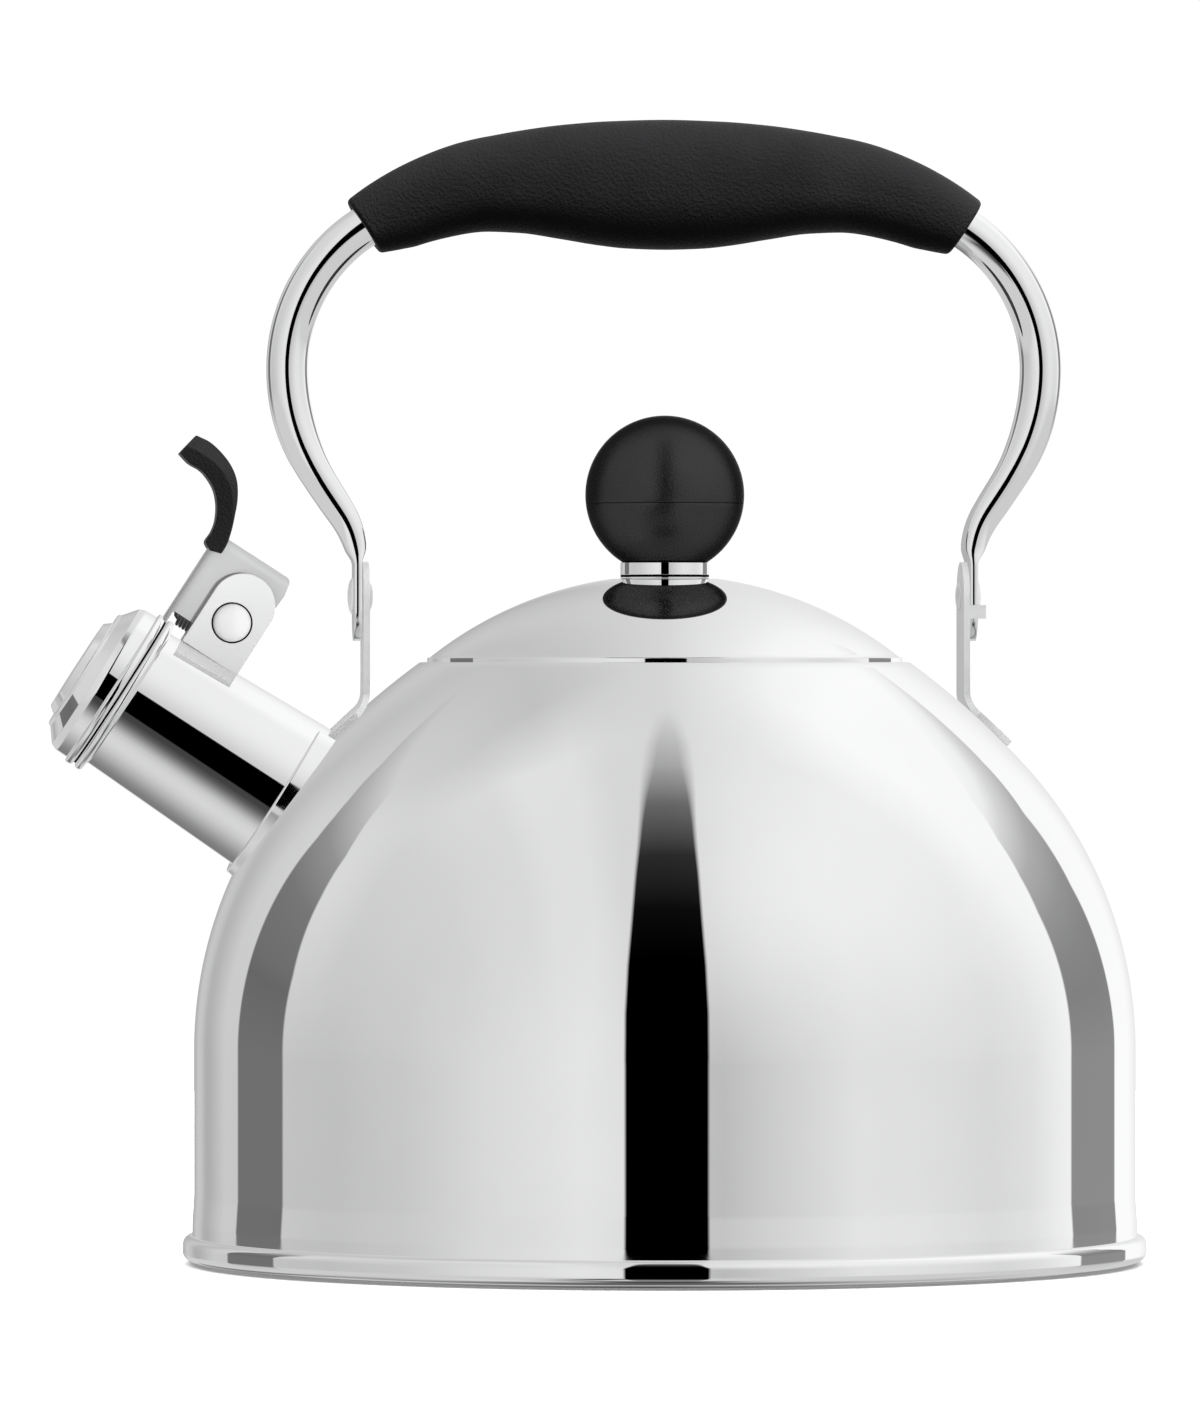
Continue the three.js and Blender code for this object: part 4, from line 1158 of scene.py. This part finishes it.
# Level higher up, in front of and behind the top, by lean.
FRONT_CEILING = [
    (-1.0, 216), (-0.77, 212), (-0.66, 216), (-0.52, 219), (-0.42, 226), (-0.28, 227), (-0.16, 218),
    (0.0, 216), (0.11, 224), (0.26, 233), (0.4, 238), (0.55, 241), (0.8, 241), (1.0, 244),
]
BACK_CEILING = [
    (-1.0, 240), (-0.6, 208), (-0.35, 196), (-0.24, 202), (-0.1, 211), (0.0, 216), (0.1, 227),
    (0.21, 236), (0.3, 246), (0.4, 252), (0.8, 251), (1.0, 250),
]
# How far the ceiling takes over from the horizon, by height.
CEILING_SHARE = [(-0.06, 0), (0.0, 0.12), (0.2, 0.33), (0.42, 0.63), (0.64, 0.9), (0.8, 1)]
# Level of the table further off, of the ground near the kettle by turn, and of what lies straight below.
TABLE_LEVEL = 206
BELOW_LEVEL = 90
SPOUT_LEAN = tan(RISE)
GROUND = [
    (-180, 150), (-167, 120), (-150, 130), (-134, 150), (-118, 172), (-100, 190), (-86, 202), (-69, 212),
    (-57, 216), (-45, 212), (-36, 200), (-30, 175), (-24, 135), (-19, 95), (-14, 66), (0, 58), (13, 66),
    (19, 120), (27, 170), (40, 200), (90, 205), (120, 190), (150, 170), (180, 150),
]
# Edges of the two grey side strips, as turn by height, then how strongly they show by height.
LEFT_OUTER = [(0.46, -128.4), (0.51, -129.6), (0.55, -131.6), (0.58, -134.6), (0.61, -138), (0.7, -150)]
LEFT_INNER = [
    (0.2, -106.2), (0.42, -108.6), (0.53, -110.6), (0.57, -112.6), (0.62, -116), (0.66, -119),
    (0.72, -129),
]
RIGHT_INNER = [(0.33, 116.9), (0.42, 118.4), (0.51, 121.4), (0.58, 127.5), (0.62, 140)]
RIGHT_OUTER = [(0.0, 143.6), (0.25, 141), (0.39, 143), (0.45, 150), (0.55, 156)]
LEFT_STRENGTH = [
    (-0.5, 0), (-0.2, 0.15), (-0.08, 0.92), (0.15, 0.99), (0.2, 0.95), (0.37, 0.9), (0.5, 0.72),
    (0.6, 0.36), (0.68, 0),
]
RIGHT_STRENGTH = [
    (-0.5, 0), (-0.2, 0.15), (-0.08, 0.92), (0.1, 0.99), (0.2, 0.96), (0.3, 0.88), (0.41, 0.71),
    (0.5, 0.38), (0.55, 0.11), (0.62, 0),
]
LEFT_LEVEL = 102
RIGHT_LEVEL = 128
STRIP_SOFT = 0.8 / 360
# The black strip in front, by pitch: half its width and its soft edge as a lean, and how strongly it shows.
BLACK_CENTRE = 0.009
BLACK_HALF = [
    (-90, 0.0), (-20, 0.172), (0, 0.181), (12, 0.179), (18, 0.173), (25, 0.166), (38, 0.145),
    (52.5, 0.123), (60, 0.111), (67.6, 0.101), (75.6, 0.093), (84, 0.083), (90, 0.07), (96, 0.04),
    (100, 0.0),
]
BLACK_SOFT = [(0, 0.012), (50, 0.013), (67.6, 0.02), (75.6, 0.03), (84, 0.042)]
BLACK_STRENGTH = [
    (-53, 0.0), (-27, 0.8), (-17, 1.0), (27, 1.0), (41, 0.995), (56.6, 0.965), (72.6, 0.8), (84, 0.5),
    (92, 0.2), (97, 0.0),
]


def build_world():
    """The studio that the steel reflects. The camera itself sees plain white."""
    world = bpy.data.worlds.new("studio")
    bpy.context.scene.world = world
    world.use_nodes = True
    tree = world.node_tree
    tree.nodes.clear()
    turned = node(tree, "ShaderNodeVectorRotate", rotation_type="Z_AXIS", Angle=VIEW_TURN,
                  Vector=node(tree, "ShaderNodeTexCoord").outputs["Generated"])
    x, y, z = axes_of(tree, turned.outputs[0])

    def calc(operation, a, b=0.0):
        return math_node(tree, operation, a, b)

    def over(source, reach):
        """A direction's measure between -reach and reach as 0 to 1."""
        return map_range(tree, source, -reach, reach, 0.0, 1.0)

    front = calc("MULTIPLY", y, -1.0)
    turn = over(calc("ARCTAN2", x, front), pi)
    pitch = over(calc("ARCTAN2", z, front), pi)
    lean = over(x, 1.0)
    depth = over(y, 1.0)
    height = over(z, 1.0)

    def curve(source, pairs, reach=1, value=float):
        """A curve over a measure, from (place between -reach and reach, value) pairs."""
        return ramp(tree, source, [((at + reach) / (2 * reach), value(level)) for at, level in pairs])

    def mix(fac, a, b):
        made = node(tree, "ShaderNodeMix", data_type="RGBA")
        for index, value in ((0, fac), (6, a), (7, b)):
            connect(made.inputs[index], value)
        return made.outputs[2]

    def cover(light, shown, level):
        """Lays one flat level over the light where it is shown."""
        return mix(shown, light, (srgb(level), srgb(level), srgb(level), 1))

    def strip(low, high, strength):
        """How much of a side strip is seen, between its two edges."""
        after = calc("SUBTRACT", turn, curve(height, low, value=turn_share))
        before = calc("SUBTRACT", curve(height, high, value=turn_share), turn)
        inside = calc("MINIMUM", after, before)
        shown = map_range(tree, inside, 0.0, STRIP_SOFT, 0.0, 1.0)
        return calc("MULTIPLY", shown, curve(height, strength))

    behind = curve(depth, [(0.02, 0), (0.28, 1)])
    ceiling = mix(behind, curve(lean, FRONT_CEILING, value=srgb), curve(lean, BACK_CEILING, value=srgb))
    light = mix(curve(height, CEILING_SHARE), curve(turn, HORIZON, 180, srgb), ceiling)
    light = cover(light, curve(height, [(-0.14, 1), (-0.065, 0)]), TABLE_LEVEL)
    off = calc("SUBTRACT", x, calc("MULTIPLY", z, SPOUT_LEAN))
    near = map_range(tree, calc("ABSOLUTE", off), 0.06, 0.14, 1.0, 0.0)
    low = calc("MULTIPLY", near, curve(height, [(-0.26, 1), (-0.22, 0)]))
    deep = curve(height, [(-0.8, 1), (-0.6, 0)])
    light = mix(calc("MAXIMUM", low, deep), light, curve(turn, GROUND, 180, srgb))
    light = cover(light, curve(height, [(-0.99, 1), (-0.86, 0)]), BELOW_LEVEL)
    light = cover(light, strip(LEFT_OUTER, LEFT_INNER, LEFT_STRENGTH), LEFT_LEVEL)
    light = cover(light, strip(RIGHT_INNER, RIGHT_OUTER, RIGHT_STRENGTH), RIGHT_LEVEL)
    sideways = calc("ABSOLUTE", calc("SUBTRACT", x, BLACK_CENTRE))
    inside = calc("SUBTRACT", curve(pitch, BLACK_HALF, 180), sideways)
    share = calc("DIVIDE", inside, curve(pitch, BLACK_SOFT, 180))
    shown = map_range(tree, share, 0.0, 1.0, 0.0, 1.0)
    light = cover(light, calc("MULTIPLY", shown, curve(pitch, BLACK_STRENGTH, 180)), 0)
    reflected = node(tree, "ShaderNodeBackground", Color=light, Strength=1.06)
    seen = node(tree, "ShaderNodeBackground", Color=(1, 1, 1, 1), Strength=1.02)
    path = node(tree, "ShaderNodeLightPath")
    choose = node(tree, "ShaderNodeMixShader", Fac=path.outputs["Is Camera Ray"])
    connect(choose.inputs[1], reflected.outputs[0])
    connect(choose.inputs[2], seen.outputs[0])
    node(tree, "ShaderNodeOutputWorld", Surface=choose.outputs[0])


def build_floor():
    floor = cylinder("floor", 900, 0, -4, 96)
    material, tree, shader = new_material("pale studio floor")
    pale = ramp(tree, noise(tree, object_coordinates(tree), 9.0), [(0.3, 0.93), (0.7, 0.95)])
    feed(shader, Base_Color=pale, Roughness=0.9, Specular_IOR_Level=0.1)
    floor.data.materials.append(material)
    floor.visible_glossy = False
    return floor


def build_sun(name, energy, degrees_wide, towards, only=()):
    """A soft distant light that shines towards a direction, on every piece or on a few."""
    data = bpy.data.lights.new(name, "SUN")
    data.energy = energy
    data.angle = radians(degrees_wide)
    light = place(name, data)
    light.rotation_euler = Vector(towards).to_track_quat("-Z", "Y").to_euler()
    light.visible_glossy = False
    if only:
        lit = bpy.data.collections.new(name)
        for piece in only:
            lit.objects.link(piece)
        light.light_linking.receiver_collection = lit
    return light


def pieces_in(*materials):
    return [piece for piece in bpy.data.objects
            if piece.type == "MESH" and set(piece.data.materials) & set(materials)]


build_camera()
build_world()
floor = build_floor()
build_body_shell()
build_base()
build_spout()
build_spout_bracket()
build_lever_pin()
build_lever_spring()
build_whistle()
build_lever_arm()
build_thumb_tip()
build_handle()
build_handle_bracket(-1, "left_bracket_strip", "left_handle_bracket")
build_handle_bracket(1, "right_bracket_strip_with_stop", "right_handle_bracket")
build_rivet(-1, "left_pivot_rivet", "left_handle_rivet")
build_rivet(1, "right_pivot_rivet", "right_handle_rivet")
build_lid()
build_collar()
build_knob()
build_knob_fixings()
keep_cad_node("heat_disc", ALUMINIUM)
keep_cad_node("knob_insert", BRASS)
LEVER_PARTS = pieces_in(BRIGHT_EAR, BRIGHT_LEVER, BRIGHT_PIN)
build_sun("soft overhead light", 1.5, 120, (-0.14, 0.2, -0.97))
build_sun("soft light on the grip", 52.0, 34, (-0.4, 0.42, -0.82), pieces_in(GRIP_BLACK))
build_sun("soft light on the thumb tip", 24.0, 40, (-0.72, 0.42, -0.56), pieces_in(TIP_BLACK))
build_sun("low light across the lever", 7.0, 5, (-0.5, 1.0, 0.14), LEVER_PARTS)
build_sun("soft light behind the lever", 4.0, 60, (0.1, -0.86, -0.5), LEVER_PARTS)
fill = build_sun("fill light on the floor", 3.2, 120, (0, 0, -1), [floor])
fill.data.use_shadow = False
bpy.context.scene.view_settings.view_transform = "Standard"
